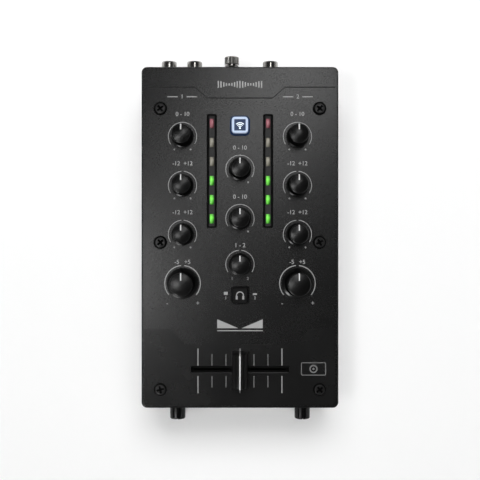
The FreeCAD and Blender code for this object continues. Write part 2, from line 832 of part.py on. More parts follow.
def fader_cap():
    """A ridge-backed cap: its cross section runs along Y, and both ends lean in."""
    body = new_body("fader_cap", (0, d.fader_y, d.case_height + d.cap_gap))
    half = [
        (d.cap_width / 2, as_size(0)),
        (d.cap_width / 2 - d.cap_draft, d.cap_side_height),
        (d.cap_waist / 2, d.cap_waist_height),
        (d.cap_ridge / 2 + d.cap_draft, d.cap_height - d.cap_draft),
        (d.cap_ridge / 2, d.cap_height),
    ]
    sketch = new_sketch(body, "XZ_Plane", 0 - d.cap_length / 2)
    outline(sketch, half + [(0 - x, z) for x, z in reversed(half)])
    extrude(body, "Pad", sketch, d.cap_length)
    end = d.cap_length / 2
    sketch = new_sketch(body, "YZ_Plane", 0 - d.cap_width)
    for side in SIDES.values():
        outline(sketch, [(side * end, 0), (side * (end + 1), 0), (side * (end + 1), d.cap_height + 1),
                         (side * (end - d.cap_end_slope), d.cap_height + 1)])
    extrude(body, "Pocket", sketch, 2 * d.cap_width, backward=True)
    sketch = new_sketch(body, "XY_Plane")
    rectangle(sketch, d.stem_length + 2 * d.fixed_gap, d.stem_thickness + 2 * d.fixed_gap)
    extrude(body, "Pocket", sketch, d.stem_proud - d.cap_gap + d.fixed_gap, backward=True)
    keep("fader_cap", body)


# Boards at the edges, and the sockets and knobs on them

def edge_board(label, width, length, top, y, holes, boss_room=()):
    """A board on posts, with screw holes, and room for any case bosses that pass through it."""
    body = new_body(label, (0, 0, top - d.board_thickness))
    sketch = new_sketch(body, "XY_Plane")
    rectangle(sketch, width, length, (0, y))
    for spot in holes:
        circle(sketch, d.small_shank_radius + d.fixed_gap, spot)
    for spot in boss_room:
        circle(sketch, d.boss_radius + d.seam_gap, spot)
    extrude(body, "Pad", sketch, d.board_thickness)
    keep(label, body)


def front_knob(label, side):
    """A fluted push-on knob with a pointer groove along its top and across its end."""
    radius, length = d.front_knob_radius, d.front_knob_reach - d.knob_gap
    body = new_body(label, (side * d.front_knob_x, 0 - wall_outside - d.knob_gap, d.front_axis_z), FORWARD)
    turned = revolve(body, [(0, 0), (radius, 0), (radius, length), (0, length)])
    round_edges(body, turned, d.button_edge, lies_at(length))
    sketch = new_sketch(body, "XY_Plane")
    circle(sketch, d.shaft_radius + d.fixed_gap)
    extrude(body, "Pocket", sketch, d.front_bore_depth, backward=True)
    sketch = new_sketch(body, "XY_Plane", length)
    rectangle(sketch, d.pointer_width, radius, (0, radius / 2))
    extrude(body, "Pocket", sketch, d.pointer_depth)
    sketch = new_sketch(body, "XY_Plane", length)
    rectangle(sketch, d.pointer_width, 2 * d.pointer_depth, (0, radius))
    extrude(body, "Pocket", sketch, length)
    sketch = new_sketch(body, "XY_Plane", length)
    circle(sketch, d.flute_radius, (radius + d.flute_radius / 2, 0))
    flute = extrude(body, "Pocket", sketch, length)
    flute_count = 12
    repeat_round(body, flute, sketch, flute_count)
    keep(label, body)


def front_edge():
    edge_board("front_board", d.front_board_width, d.front_board_length, d.front_board_top,
               0 - (wall_inside - d.front_board_length / 2 - d.seam_gap), front_post_places)
    wall_face = 0 - wall_inside
    pots = []
    for side, name in ((-1, "curve"), (1, "phones")):
        x = side * d.front_knob_x
        shaft_floor = (x, wall_face + d.front_pot_length - d.pot_floor, d.front_axis_z)
        pot_height = 2 * (d.front_axis_z - d.front_board_top)
        body = block(d.front_pot_width, d.front_pot_length, pot_height,
                     (x, wall_face + d.front_pot_length / 2, d.front_board_top))
        bushing = rod(d.front_bushing_radius, d.wall, (x, wall_face, d.front_axis_z), FORWARD)
        bore = rod(d.shaft_radius + d.running_gap, d.front_pot_length + d.wall, shaft_floor, FORWARD)
        pots.append(cut(fuse(body, bushing), bore))
        shaft_length = d.front_pot_length - d.pot_floor + d.wall + d.front_bore_depth
        start = (x, shaft_floor[1] - d.running_gap, d.front_axis_z)
        keep(f"{name}_shaft", rod(d.shaft_radius, shaft_length, start, FORWARD))
        front_knob(f"{name}_knob", side)
    keep("front_pot_bodies", *pots)


def socket(x, z, side, width, length, nose_radius, bore_radius, board_z):
    """A jack socket behind a wall: side 1 faces the rear and -1 the front."""
    face = side * wall_inside
    turn = REARWARD if side > 0 else FORWARD
    body = block(width, length, 2 * z - 2 * board_z, (x, face - side * length / 2, board_z))
    nose = rod(nose_radius, d.wall + d.nose_proud, (x, face, z), turn)
    inner_end = face - side * (length - d.frame_sheet)
    bore = rod(bore_radius, length + d.wall + d.nose_proud, (x, inner_end, z), turn)
    return cut(fuse(body, nose), bore)


def hexagon_nut(x, z, side, radius, nose_radius):
    turn = REARWARD if side > 0 else FORWARD
    seat = (x, side * wall_outside, z)
    prism = doc.addObject("Part::Prism", "prism")
    prism.Polygon = 6
    bind(prism, "Circumradius", radius)
    bind(prism, "Height", d.nut_thickness)
    place(prism, seat, turn)
    return cut(prism, rod(nose_radius + d.fixed_gap, d.nut_thickness, seat, turn))


def jack_sockets():
    mini_x = 0 - d.phones_x
    keep("jack_sockets",
         socket(d.phones_x, d.front_axis_z, -1, d.phones_width, d.phones_length, d.phones_nose_radius,
                d.phones_bore_radius, d.front_board_top),
         socket(mini_x, d.front_axis_z, -1, d.mini_width, d.mini_length, d.mini_nose_radius,
                d.mini_bore_radius, d.front_board_top),
         socket(d.aux_socket_x, d.aux_socket_z, 1, d.mini_width, d.mini_length, d.mini_nose_radius,
                d.mini_bore_radius, d.rear_board_top))
    keep("jack_nuts",
         hexagon_nut(d.phones_x, d.front_axis_z, -1, d.phones_nut_radius, d.phones_nose_radius),
         hexagon_nut(mini_x, d.front_axis_z, -1, d.mini_nut_radius, d.mini_nose_radius),
         hexagon_nut(d.aux_socket_x, d.aux_socket_z, 1, d.mini_nut_radius, d.mini_nose_radius))


def phono_sockets():
    seat = wall_inside - d.shell_seat
    housings = []
    for x in phono_columns:
        body = block(d.phono_width, d.phono_depth, d.phono_top - d.rear_board_top,
                     (x, wall_inside - d.phono_depth / 2, d.rear_board_top))
        bores = [rod(d.shell_neck_radius + d.fixed_gap, d.phono_depth, (x, seat, z), REARWARD)
                 for z in (d.phono_upper_z, d.phono_lower_z)]
        housings.append(cut(body, *bores))
    keep("rca_housings", *housings)
    shells, insulators = [], []
    neck = d.shell_seat + d.wall
    shoulder = neck + d.shell_wall
    length = neck + d.shell_reach
    front = length - d.insulator_recess
    inner = d.shell_radius - d.shell_wall
    neck_inner = d.shell_neck_radius - d.shell_wall
    for x, z in phono_places:
        shell = new_body("rca_shell", (x, seat, z), REARWARD)
        revolve(shell, [
            (neck_inner, 0),
            (d.shell_neck_radius, 0),
            (d.shell_neck_radius, neck),
            (d.shell_radius, neck),
            (d.shell_radius, length - d.shell_chamfer),
            (d.shell_radius - d.shell_chamfer, length),
            (inner, length),
            (inner, shoulder),
            (neck_inner, shoulder),
        ])
        shells.append(shell)
        insulator = new_body("rca_insulator", (x, seat, z), REARWARD)
        revolve(insulator, [
            (0, 0),
            (neck_inner - d.fixed_gap, 0),
            (neck_inner - d.fixed_gap, shoulder + d.fixed_gap),
            (inner - d.fixed_gap, shoulder + d.fixed_gap),
            (inner - d.fixed_gap, front),
            (d.centre_bore_radius, front),
            (d.centre_bore_radius, front - d.centre_bore_depth),
            (0, front - d.centre_bore_depth),
        ])
        insulators.append(insulator)
    keep("rca_shells", *shells)
    keep("rca_insulators", *insulators)


def ground_terminal():
    spot = (d.ground_x, wall_inside - d.stud_flange, d.ground_z)
    post = new_body("ground_post", spot, REARWARD)
    stud_end = d.stud_flange + d.wall + d.stud_reach
    revolve(post, [(0, 0), (d.stud_flange_radius, 0), (d.stud_flange_radius, d.stud_flange),
                   (d.stud_radius, d.stud_flange), (d.stud_radius, stud_end), (0, stud_end)])
    keep("ground_post", post)

    nut_base = wall_outside + d.ground_nut_reach - d.ground_nut_length
    bore = d.stud_radius + d.running_gap
    nut = new_body("ground_nut", (d.ground_x, nut_base, d.ground_z), REARWARD)
    revolve(nut, [
        (bore, 0),
        (d.ground_neck_radius, 0),
        (d.ground_neck_radius, d.ground_neck_length),
        (d.ground_nut_radius, d.ground_neck_length),
        (d.ground_nut_radius, d.ground_nut_length),
        (bore, d.ground_nut_length),
    ])
    sketch = new_sketch(nut, "XY_Plane", d.ground_nut_length)
    outline(sketch, [(d.ground_nut_radius - d.knurl_depth, 0),
                     (d.ground_nut_radius + d.knurl_depth, 0 - d.knurl_depth),
                     (d.ground_nut_radius + d.knurl_depth, d.knurl_depth)])
    groove = extrude(nut, "Pocket", sketch, d.ground_nut_length)
    knurl_count = 36
    repeat_round(nut, groove, sketch, knurl_count)
    keep("ground_nut", nut)

    slack = (d.ground_neck_length - d.washer_thickness) / 2
    start = (d.ground_x, nut_base + slack, d.ground_z)
    washer = rod(d.washer_radius, d.washer_thickness, start, REARWARD)
    hole = rod(d.ground_neck_radius + d.running_gap, d.washer_thickness, start, REARWARD)
    keep("ground_washer", cut(washer, hole))


def usb_socket():
    """A receptacle shell with its tongue, lying on the rear board and flush with the rear face."""
    middle_z = d.rear_board_top + d.usb_height / 2
    body = new_body("usb_socket", (d.usb_x, wall_outside - d.usb_length, middle_z), REARWARD)
    rounded_block(body, d.usb_width, d.usb_height, d.usb_length, d.usb_height * 0.45)
    sketch = new_sketch(body, "XY_Plane", d.usb_length)
    width, height = d.usb_width - 2 * d.usb_shell, d.usb_height - 2 * d.usb_shell
    rounded_outline(sketch, width, height, height * 0.45)
    rectangle(sketch, d.usb_tongue_width, d.usb_tongue_height)
    extrude(body, "Pocket", sketch, d.usb_length - d.frame_sheet)
    keep("usb_socket", body)


def rear_edge():
    edge_board("rear_board", d.rear_board_width, d.rear_board_length, d.rear_board_top,
               wall_inside - d.rear_board_length / 2 - d.seam_gap, rear_post_places,
               [spot for spot in screw_places if spot[1].value == d.screw_rear_y.value])
    phono_sockets()
    ground_terminal()
    usb_socket()


def ribbon_cables():
    """Flat cables from the edge boards up to the control board, each with a bulge of slack."""
    ribbons = []
    for x, y, side, low in ((d.ribbon_rear_x, d.ribbon_rear_y, -1, d.rear_board_top),
                            (d.ribbon_front_x, d.ribbon_front_y, 1, d.front_board_top)):
        middle = (low + board_base) / 2
        path = [(y, low), (y, low + d.ribbon_lead), (y + side * d.ribbon_bulge, middle),
                (y, board_base - d.ribbon_lead), (y, board_base)]
        half = d.ribbon_thickness / 2
        body = new_body("ribbon", (x - d.ribbon_width / 2, 0, 0))
        sketch = new_sketch(body, "YZ_Plane")
        outline(sketch, [(along - half, up) for along, up in path]
                + [(along + half, up) for along, up in reversed(path)])
        extrude(body, "Pad", sketch, d.ribbon_width)
        ribbons.append(body)
    keep("ribbon_cables", *ribbons)


top_cover()
lower_housing()
case_fasteners()
rubber_feet()
control_board()
rotary_controls()
level_meters()
push_button("wireless", d.wireless_y, d.wireless_size, d.wireless_corner, d.wireless_proud,
            d.wireless_window, d.wireless_travel)
push_button("cue", d.cue_y, d.cue_size, d.cue_corner, d.cue_proud, d.cue_window, d.cue_travel)
crossfader()
fader_cap()
front_edge()
jack_sockets()
rear_edge()
ribbon_cables()
doc.recompute()

for item in doc.Objects:
    if "Invalid" in item.State or "Error" in item.State:
        raise RuntimeError(f"{item.Label} did not build: {item.State}")
for label, item in subparts.items():
    if item.Shape.isNull() or not item.Shape.isValid():
        raise RuntimeError(f"{label} has no valid shape")
    item.Shape.exportStep(f"parts/{label}.step")
print(len(subparts), "sub-parts")
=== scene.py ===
import json
import math

import bmesh
import bpy
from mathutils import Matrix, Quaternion, Vector


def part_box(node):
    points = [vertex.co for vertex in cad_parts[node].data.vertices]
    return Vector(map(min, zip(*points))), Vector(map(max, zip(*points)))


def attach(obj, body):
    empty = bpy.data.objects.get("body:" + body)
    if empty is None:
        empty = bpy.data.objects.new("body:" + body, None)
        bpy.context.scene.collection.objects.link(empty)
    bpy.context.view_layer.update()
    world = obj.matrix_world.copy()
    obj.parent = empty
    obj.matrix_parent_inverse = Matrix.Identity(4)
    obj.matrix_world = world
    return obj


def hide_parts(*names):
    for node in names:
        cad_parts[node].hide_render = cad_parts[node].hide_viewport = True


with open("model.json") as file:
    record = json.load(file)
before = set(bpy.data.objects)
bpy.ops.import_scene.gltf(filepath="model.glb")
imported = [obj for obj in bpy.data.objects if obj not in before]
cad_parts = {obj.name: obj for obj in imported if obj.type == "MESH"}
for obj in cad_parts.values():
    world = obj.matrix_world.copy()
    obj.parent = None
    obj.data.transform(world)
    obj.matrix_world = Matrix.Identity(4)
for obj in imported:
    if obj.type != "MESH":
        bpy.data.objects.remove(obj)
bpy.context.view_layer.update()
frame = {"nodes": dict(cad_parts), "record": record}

nodes = frame["nodes"]

# Lower housing: a black tub, injection moulded with a fine eroded texture. The cover's skirt meets
# it at a narrow seam, and six screws through the cover draw the two halves together.

MM = 0.001


class Value:
    """A shader socket: arithmetic on it adds Math nodes, and node() adds any other kind."""

    def __init__(self, tree, socket):
        self.tree = tree
        self.socket = socket

    def node(self, kind, settings, inputs, output=0):
        made = self.tree.nodes.new(kind)
        for name, setting in settings.items():
            setattr(made, name, setting)
        for name, value in inputs.items():
            if isinstance(value, Value):
                self.tree.links.new(value.socket, made.inputs[name])
            else:
                made.inputs[name].default_value = value
        return Value(self.tree, made.outputs[output])

    def math(self, operation, first, second=0.0):
        return self.node("ShaderNodeMath", {"operation": operation}, {0: first, 1: second})

    def __add__(self, other):
        return self.math("ADD", self, other)

    def __sub__(self, other):
        return self.math("SUBTRACT", self, other)

    def __rsub__(self, other):
        return self.math("SUBTRACT", other, self)

    def __mul__(self, other):
        return self.math("MULTIPLY", self, other)

    def __mod__(self, other):
        return self.math("FLOORED_MODULO", self, other)

    def __gt__(self, other):
        return self.math("GREATER_THAN", self, other)

    def __abs__(self):
        return self.math("ABSOLUTE", self)

    __radd__ = __add__
    __rmul__ = __mul__

    def axis(self, name):
        """One coordinate of a place, in mm."""
        return self.node("ShaderNodeSeparateXYZ", {}, {"Vector": self}, name) * (1 / MM)

    def noise(self, size, detail=2.0):
        """Noise with lumps of about a size, in mm."""
        inputs = {"Vector": self, "Scale": 1 / (size * MM), "Detail": detail}
        return self.node("ShaderNodeTexNoise", {}, inputs)

    def blend(self, low, high):
        """A colour between two, by this factor."""
        inputs = {0: self, 6: [*low, 1], 7: [*high, 1]}
        return self.node("ShaderNodeMix", {"data_type": "RGBA"}, inputs, 2)

    def ease(self, low, high, start, end):
        """Runs smoothly from start to end while this goes from low to high."""
        inputs = {"Value": self, "From Min": low, "From Max": high, "To Min": start, "To Max": end}
        return self.node("ShaderNodeMapRange", {"interpolation_type": "SMOOTHSTEP"}, inputs)

    def bump(self, depth):
        """A normal that rises and falls by a depth, in mm."""
        return self.node("ShaderNodeBump", {}, {"Height": self, "Distance": depth * MM}, "Normal")


def paint(*levels):
    """A colour as shaders hold it, from red, green and blue levels of 0 to 255, or one level of grey."""
    levels = levels * 3 if len(levels) == 1 else levels
    parts = [level / 255 for level in levels]
    return [part / 12.92 if part < 0.04045 else ((part + 0.055) / 1.055) ** 2.4 for part in parts]


def new_finish(name, constants):
    """A material with its plain settings, and the object coordinates that its patterns read."""
    finish = bpy.data.materials.new(name)
    finish.use_nodes = True
    shader = finish.node_tree.nodes["Principled BSDF"]
    for socket, setting in constants.items():
        shader.inputs[socket].default_value = setting
    coordinates = finish.node_tree.nodes.new("ShaderNodeTexCoord")
    return finish, Value(finish.node_tree, coordinates.outputs["Object"])


def feed(finish, values):
    """Links what varies over a surface to the shader."""
    shader = finish.node_tree.nodes["Principled BSDF"]
    for socket, value in values.items():
        finish.node_tree.links.new(value.socket, shader.inputs[socket])
    return finish


def surface(name, colour, roughness, grain, relief, shine=0.5, metal=0.0):
    """A grained finish: faint clouds in its colour and gloss, and fine bumps. Grain and relief are in mm."""
    finish, place = new_finish(name, {"Specular IOR Level": shine, "Metallic": metal})
    clouds = place.noise(18, 4.0)
    fine = place.noise(grain)
    mottle = clouds * 0.5 + fine * 0.5
    return feed(finish, {
        "Base Color": mottle.blend([part * 0.7 for part in colour], [part * 1.3 for part in colour]),
        "Roughness": roughness - 0.08 + clouds * 0.16,
        "Normal": fine.bump(relief),
    })


def dress(finish, *names):
    """Gives a finish to CAD nodes that stay as they are."""
    for name in names:
        nodes[name].material_slots[0].material = finish


def span(node):
    """Lowest and highest corners of a CAD node, in mm."""
    return [[value / MM for value in corner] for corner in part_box(node)]


def middle(node):
    low, high = span(node)
    return [(a + b) / 2 for a, b in zip(low, high)]


housing_texture = surface("housing_texture", paint(31), 0.55, 0.45, 0.03)
dress(housing_texture, "lower_housing")

# Rubber feet: four turned rings of black rubber, rounded where they stand on the table. A screw in
# each recess holds the foot to the floor of the housing.


def block(low, high):
    """A box between two corners, in mm, left in edit mode."""
    centre = [(a + b) / 2 * MM for a, b in zip(low, high)]
    size = [(b - a) * MM for a, b in zip(low, high)]
    bpy.ops.mesh.primitive_cube_add(size=1, location=centre)
    bpy.context.object.scale = size
    bpy.ops.object.transform_apply()
    bpy.ops.object.mode_set(mode="EDIT")
    return bpy.context.object


def pick(kind, test):
    """Selects the vertices, edges or faces whose middle, in mm, passes a test."""
    bpy.ops.mesh.select_mode(type=kind)
    bpy.ops.mesh.select_all(action="DESELECT")
    mesh = bmesh.from_edit_mesh(bpy.context.object.data)
    for item in {"VERT": mesh.verts, "EDGE": mesh.edges, "FACE": mesh.faces}[kind]:
        corners = [item.co] if kind == "VERT" else [corner.co for corner in item.verts]
        at = sum(corners, corners[0] * 0) / len(corners) / MM
        if test(at, item):
            item.select_set(True)
    mesh.select_flush_mode()
    bmesh.update_edit_mesh(bpy.context.object.data)


def bevel(size, steps):
    bpy.ops.mesh.bevel(offset=size * MM, segments=steps, affect="EDGES", clamp_overlap=True)


def extrude(rise):
    bpy.ops.mesh.extrude_region_move(TRANSFORM_OT_translate={"value": (0, 0, rise * MM)})


def widen(share):
    """Scales what is selected, away from or towards the Z axis."""
    bpy.ops.transform.resize(value=(share, share, 1), center_override=(0, 0, 0))


def outward():
    """Merges doubled points and turns every face outwards."""
    bpy.ops.mesh.select_all(action="SELECT")
    bpy.ops.mesh.remove_doubles(threshold=0.0005 * MM)
    bpy.ops.mesh.normals_make_consistent(inside=False)


def done(piece, name, angle=35):
    """Leaves edit mode with a named, smoothly shaded piece."""
    bpy.ops.object.mode_set(mode="OBJECT")
    piece.name = name
    piece.data.name = name
    bpy.ops.object.shade_smooth_by_angle(angle=math.radians(angle))
    return piece


def turned(name, rings, sides=48, hollow=False):
    """Turns a profile of (radius, height) rings about Z. A hollow one ends on its first ring."""
    radius, height = rings[0]
    fill = "NOTHING" if hollow else "NGON"
    bpy.ops.mesh.primitive_circle_add(vertices=sides, radius=radius * MM, fill_type=fill,
                                      location=(0, 0, height * MM))
    bpy.ops.object.transform_apply()
    piece = bpy.context.object
    bpy.ops.object.mode_set(mode="EDIT")
    bpy.ops.mesh.select_mode(type="EDGE" if hollow else "FACE")
    bpy.ops.mesh.select_all(action="SELECT")
    for wide, high in [*rings[1:], rings[0]] if hollow else rings[1:]:
        extrude(high - height)
        widen(wide / radius)
        radius, height = wide, high
    outward()
    return done(piece, name)


def choose(*pieces):
    """Selects some pieces and makes the first one active."""
    bpy.ops.object.select_all(action="DESELECT")
    for piece in pieces:
        piece.select_set(True)
    bpy.context.view_layer.objects.active = pieces[0]


def put(piece, place, turn=(0, 0, 0)):
    """Moves and turns a piece that was modelled at the origin."""
    choose(piece)
    piece.location = [value * MM for value in place]
    piece.rotation_euler = turn
    bpy.ops.object.transform_apply()
    return piece


def joined(name, pieces):
    """Makes one piece of several."""
    choose(*pieces)
    bpy.ops.object.join()
    pieces[0].name = name
    pieces[0].data.name = name
    return pieces[0]


def spread(name, piece, places, turns=None):
    """Copies a piece from the origin to each place, turned if turns are given, and joins the copies."""
    copies = []
    for place, turn in zip(places, turns or [(0, 0, 0)] * len(places)):
        made = piece.copy()
        made.data = piece.data.copy()
        bpy.context.collection.objects.link(made)
        copies.append(put(made, place, turn))
    bpy.data.objects.remove(piece)
    return joined(name, copies)


def fit(piece, finish, body, slot, *replaced):
    """Gives a piece its finish and the body that it moves with, and hides the CAD nodes that it stands for.
    """
    piece.data.materials.append(finish)
    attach(piece, body)
    if replaced:
        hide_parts(*replaced)


FOOT_RADIUS = 6.0
FOOT_HEIGHT = 3.0
FOOT_RECESS = 3.2
RECESS_DEPTH = 1.8
SCREW_HOLE = 1.25
low, high = span("rubber_feet")
foot_places = [(x, y, 0) for x in (low[0] + FOOT_RADIUS, high[0] - FOOT_RADIUS)
               for y in (low[1] + FOOT_RADIUS, high[1] - FOOT_RADIUS)]
foot = turned("foot", [
    (SCREW_HOLE, FOOT_HEIGHT), (FOOT_RADIUS, FOOT_HEIGHT), (FOOT_RADIUS, 0.9), (FOOT_RADIUS - 0.15, 0.45),
    (FOOT_RADIUS - 0.45, 0.15), (FOOT_RADIUS - 0.9, 0.0), (FOOT_RECESS + 0.3, 0.0), (FOOT_RECESS, 0.3),
    (FOOT_RECESS, RECESS_DEPTH), (SCREW_HOLE, RECESS_DEPTH),
], hollow=True)
rubber = surface("rubber", paint(38), 0.8, 0.3, 0.02)
fit(spread("moulded_feet", foot, foot_places), rubber, "chassis", "rubber", "rubber_feet")

# Boards and their fixings: glass-fibre boards with a green solder mask, brass inserts pressed into
# the bosses, nylon spacers and zinc-plated screws. All of it is hidden once the cover is on.

board_finish, place = new_finish("solder_mask", {"Coat Weight": 0.4})
tracks = (place.noise(3.0) % 0.12) > 0.1
feed(board_finish, {
    "Base Color": tracks.blend(paint(18, 70, 38), paint(34, 104, 58)),
    "Roughness": 0.35 + place.noise(6.0) * 0.2,
    "Normal": tracks.bump(0.04),
})
dress(board_finish, "control_board", "front_board", "rear_board")
zinc = surface("zinc_plate", paint(190, 192, 196), 0.32, 0.5, 0.01, metal=1.0)
dress(zinc, "inner_screws")
dress(surface("brass_insert", paint(196, 164, 96), 0.35, 0.5, 0.02, metal=1.0), "screw_inserts")
dress(surface("white_nylon", paint(214, 212, 204), 0.5, 0.8, 0.01), "board_spacers")
dress(surface("ribbon_grey", paint(150, 152, 156), 0.5, 1.27, 0.05), "ribbon_cables")

# Phono sockets: nickelled brass shells with a rolled mouth around a moulded insulator, white over
# red, with a sprung contact sleeve in each. They stand in black housings on the rear board.

WALL_Y = span("lower_housing")[1][1]
REARWARD = (-math.pi / 2, 0, 0)
FORWARD = (math.pi / 2, 0, 0)
mounts = frame["record"]["mounts"]
mount_places = {mount["name"]: [value / MM for value in mount["pos_m"]] for mount in mounts}
phono_places = [(x, WALL_Y, z) for name, (x, _, z) in mount_places.items() if name.endswith("_shell")]
phono_turns = [REARWARD] * len(phono_places)

SHELL_SEAT = span("rca_shells")[0][1] - WALL_Y
SHELL_REACH = span("rca_shells")[1][1] - WALL_Y
SHELL_RADIUS = 4.15
SHELL_BORE = 3.55
SHELL_FLOOR = 0.6
NECK_RADIUS = 3.4
NECK_BORE = 2.8
nickel = surface("nickel", paint(166, 164, 161), 0.22, 0.8, 0.0003, metal=1.0)
shell = turned("shell", [
    (NECK_BORE, SHELL_SEAT), (NECK_RADIUS, SHELL_SEAT), (NECK_RADIUS, 0.0), (SHELL_RADIUS - 0.15, 0.0),
    (SHELL_RADIUS, 0.15), (SHELL_RADIUS, SHELL_REACH - 1.0), (SHELL_RADIUS, SHELL_REACH - 0.9),
    (SHELL_RADIUS - 0.06, SHELL_REACH - 0.45), (SHELL_RADIUS - 0.2, SHELL_REACH - 0.1),
    (SHELL_RADIUS - 0.35, SHELL_REACH), (SHELL_BORE + 0.1, SHELL_REACH - 0.1),
    (SHELL_BORE, SHELL_REACH - 0.4), (SHELL_BORE, SHELL_FLOOR), (NECK_BORE, SHELL_FLOOR),
], hollow=True)
shells = spread("phono_shells", shell, phono_places, phono_turns)
fit(shells, nickel, "chassis", "nickel", "rca_shells")

PIN_BORE = 1.7
PIN_DEPTH = 9.0
LOOSE = 0.05
face = SHELL_REACH - 1.0
insulator = turned("insulator", [
    (NECK_BORE - LOOSE, SHELL_SEAT), (NECK_BORE - LOOSE, SHELL_FLOOR + LOOSE),
    (SHELL_BORE - LOOSE, SHELL_FLOOR + LOOSE), (SHELL_BORE - LOOSE, face - 0.2), (SHELL_BORE - 0.25, face),
    (PIN_BORE + 0.8, face), (PIN_BORE + 0.7, face - 0.15), (PIN_BORE + 0.3, face - 0.15),
    (PIN_BORE + 0.2, face), (PIN_BORE + 0.1, face - 0.05), (PIN_BORE, face - 0.2),
    (PIN_BORE, face - PIN_DEPTH),
])
insulator_plastic, place = new_finish("insulator_plastic", {})
row_levels = [spot[2] for spot in phono_places]
upper = place.axis("Z") > sum(row_levels) / len(row_levels)
feed(insulator_plastic, {
    "Base Color": upper.blend(paint(176, 28, 30), paint(226, 226, 222)),
    "Roughness": 0.35 + place.noise(2.0) * 0.2,
    "Normal": place.noise(0.4).bump(0.01),
})
insulators = spread("phono_insulators", insulator, phono_places, phono_turns)
fit(insulators, insulator_plastic, "chassis", "insulator_plastic", "rca_insulators")

SLEEVE_RADIUS = PIN_BORE - 0.02
SLEEVE_BORE = PIN_BORE - 0.09
sleeve_low = face - PIN_DEPTH + 0.1
sleeve_high = face - 0.45
sleeve = turned("sleeve", [
    (SLEEVE_BORE, sleeve_low), (SLEEVE_RADIUS, sleeve_low), (SLEEVE_RADIUS, sleeve_high - 0.15),
    (SLEEVE_BORE, sleeve_high),
], hollow=True, sides=32)
fit(spread("phono_contacts", sleeve, phono_places, phono_turns), nickel, "chassis", "nickel")
socket_plastic = surface("socket_plastic", paint(26), 0.45, 0.6, 0.02)
dress(socket_plastic, "rca_housings")

# Ground terminal: a nickelled stud through the rear wall with a rolled thread, a captive washer and
# a straight-knurled thumb nut that clamps the earth wire of a turntable.

stud_low, stud_high = span("ground_post")
ground_x, _, ground_z = middle("ground_post")
FLANGE_RADIUS = 4.5
FLANGE_THICKNESS = 2.0
STUD_RADIUS = 2.0
THREAD_DEPTH = 0.22
THREAD_PITCH = 0.7
THREAD_START = WALL_Y - stud_low[1] + 0.4
stud_length = stud_high[1] - stud_low[1]
threads = []
for turn in range(int((stud_length - THREAD_START) / THREAD_PITCH)):
    crest = THREAD_START + turn * THREAD_PITCH
    threads += [(STUD_RADIUS, crest), (STUD_RADIUS - THREAD_DEPTH, crest + THREAD_PITCH / 2)]
stud = turned("ground_stud", [
    (FLANGE_RADIUS, 0.0), (FLANGE_RADIUS, FLANGE_THICKNESS), (STUD_RADIUS, FLANGE_THICKNESS), *threads,
    (STUD_RADIUS - THREAD_DEPTH, stud_length - 0.3), (STUD_RADIUS - 0.5, stud_length),
], sides=32)
put(stud, (ground_x, stud_low[1], ground_z), REARWARD)
fit(stud, nickel, "chassis", "nickel", "ground_post")
dress(nickel, "ground_washer")

KNURLS = 22
KNURL_SHARE = 0.9
NUT_RADIUS = 4.0
NUT_BORE = STUD_RADIUS + 0.05
NUT_EDGE = 0.35
HUB_RADIUS = 2.7
HUB_LENGTH = 1.0
nut_low, nut_high = span("ground_nut")
nut_length = nut_high[1] - nut_low[1]
nut = turned("thumb_nut", [
    (NUT_BORE, 0.0), (HUB_RADIUS, 0.0), (HUB_RADIUS, HUB_LENGTH), (NUT_RADIUS - 0.4, HUB_LENGTH),
    (NUT_RADIUS, HUB_LENGTH + NUT_EDGE), (NUT_RADIUS, nut_length - NUT_EDGE), (NUT_RADIUS - 0.4, nut_length),
    (NUT_BORE + 0.4, nut_length), (NUT_BORE, nut_length - NUT_EDGE),
], sides=2 * KNURLS, hollow=True)
bpy.ops.object.mode_set(mode="EDIT")


def in_groove(at, point):
    """Every other point of the nut's rim, by the angle that it stands at."""
    step = round(math.atan2(at.y, at.x) / math.pi * KNURLS)
    return step % 2 == 0 and math.hypot(at.x, at.y) > NUT_RADIUS - 0.05


pick("VERT", in_groove)
widen(KNURL_SHARE)
done(nut, "thumb_nut", 20)
put(nut, (ground_x, nut_low[1], ground_z), REARWARD)
knurled_nickel = surface("knurled_nickel", paint(200, 198, 194), 0.3, 0.4, 0.0004, metal=1.0)
fit(nut, knurled_nickel, "ground_thumb_nut", "nickel", "ground_nut")

# USB and jack sockets: a drawn steel receptacle with a black tongue, and moulded jack sockets whose
# noses pass through the walls and are held by hexagon nuts.

usb_steel, place = new_finish("usb_steel", {"Metallic": 1.0})
TONGUE_HALF = 0.5
off_tongue = abs(place.axis("Z") - middle("usb_socket")[2]) > TONGUE_HALF
feed(usb_steel, {
    "Base Color": off_tongue.blend(paint(30), paint(206, 206, 208)),
    "Roughness": 0.28 + place.noise(1.5) * 0.15,
    "Normal": place.noise(0.6).bump(0.005),
})
dress(usb_steel, "usb_socket")
dress(socket_plastic, "jack_sockets")


def cut_out(piece, cutter, keep=False):
    """Takes one piece's shape out of another, and removes the cutter unless it is to be kept."""
    choose(piece)
    modifier = piece.modifiers.new("cut", "BOOLEAN")
    modifier.operation = "DIFFERENCE"
    modifier.solver = "EXACT"
    modifier.object = cutter
    bpy.ops.object.modifier_apply(modifier=modifier.name)
    bpy.ops.object.shade_smooth_by_angle(angle=math.radians(30))
    if not keep:
        bpy.data.objects.remove(cutter)


PHONES_NUT = 7.2
PHONES_NOSE = 5.3
MINI_NUT = 4.1
MINI_NOSE = 2.9
JACK_NUT_THICKNESS = 1.6
CHAMFER = 0.3
CHAMFER_RISE = 0.25


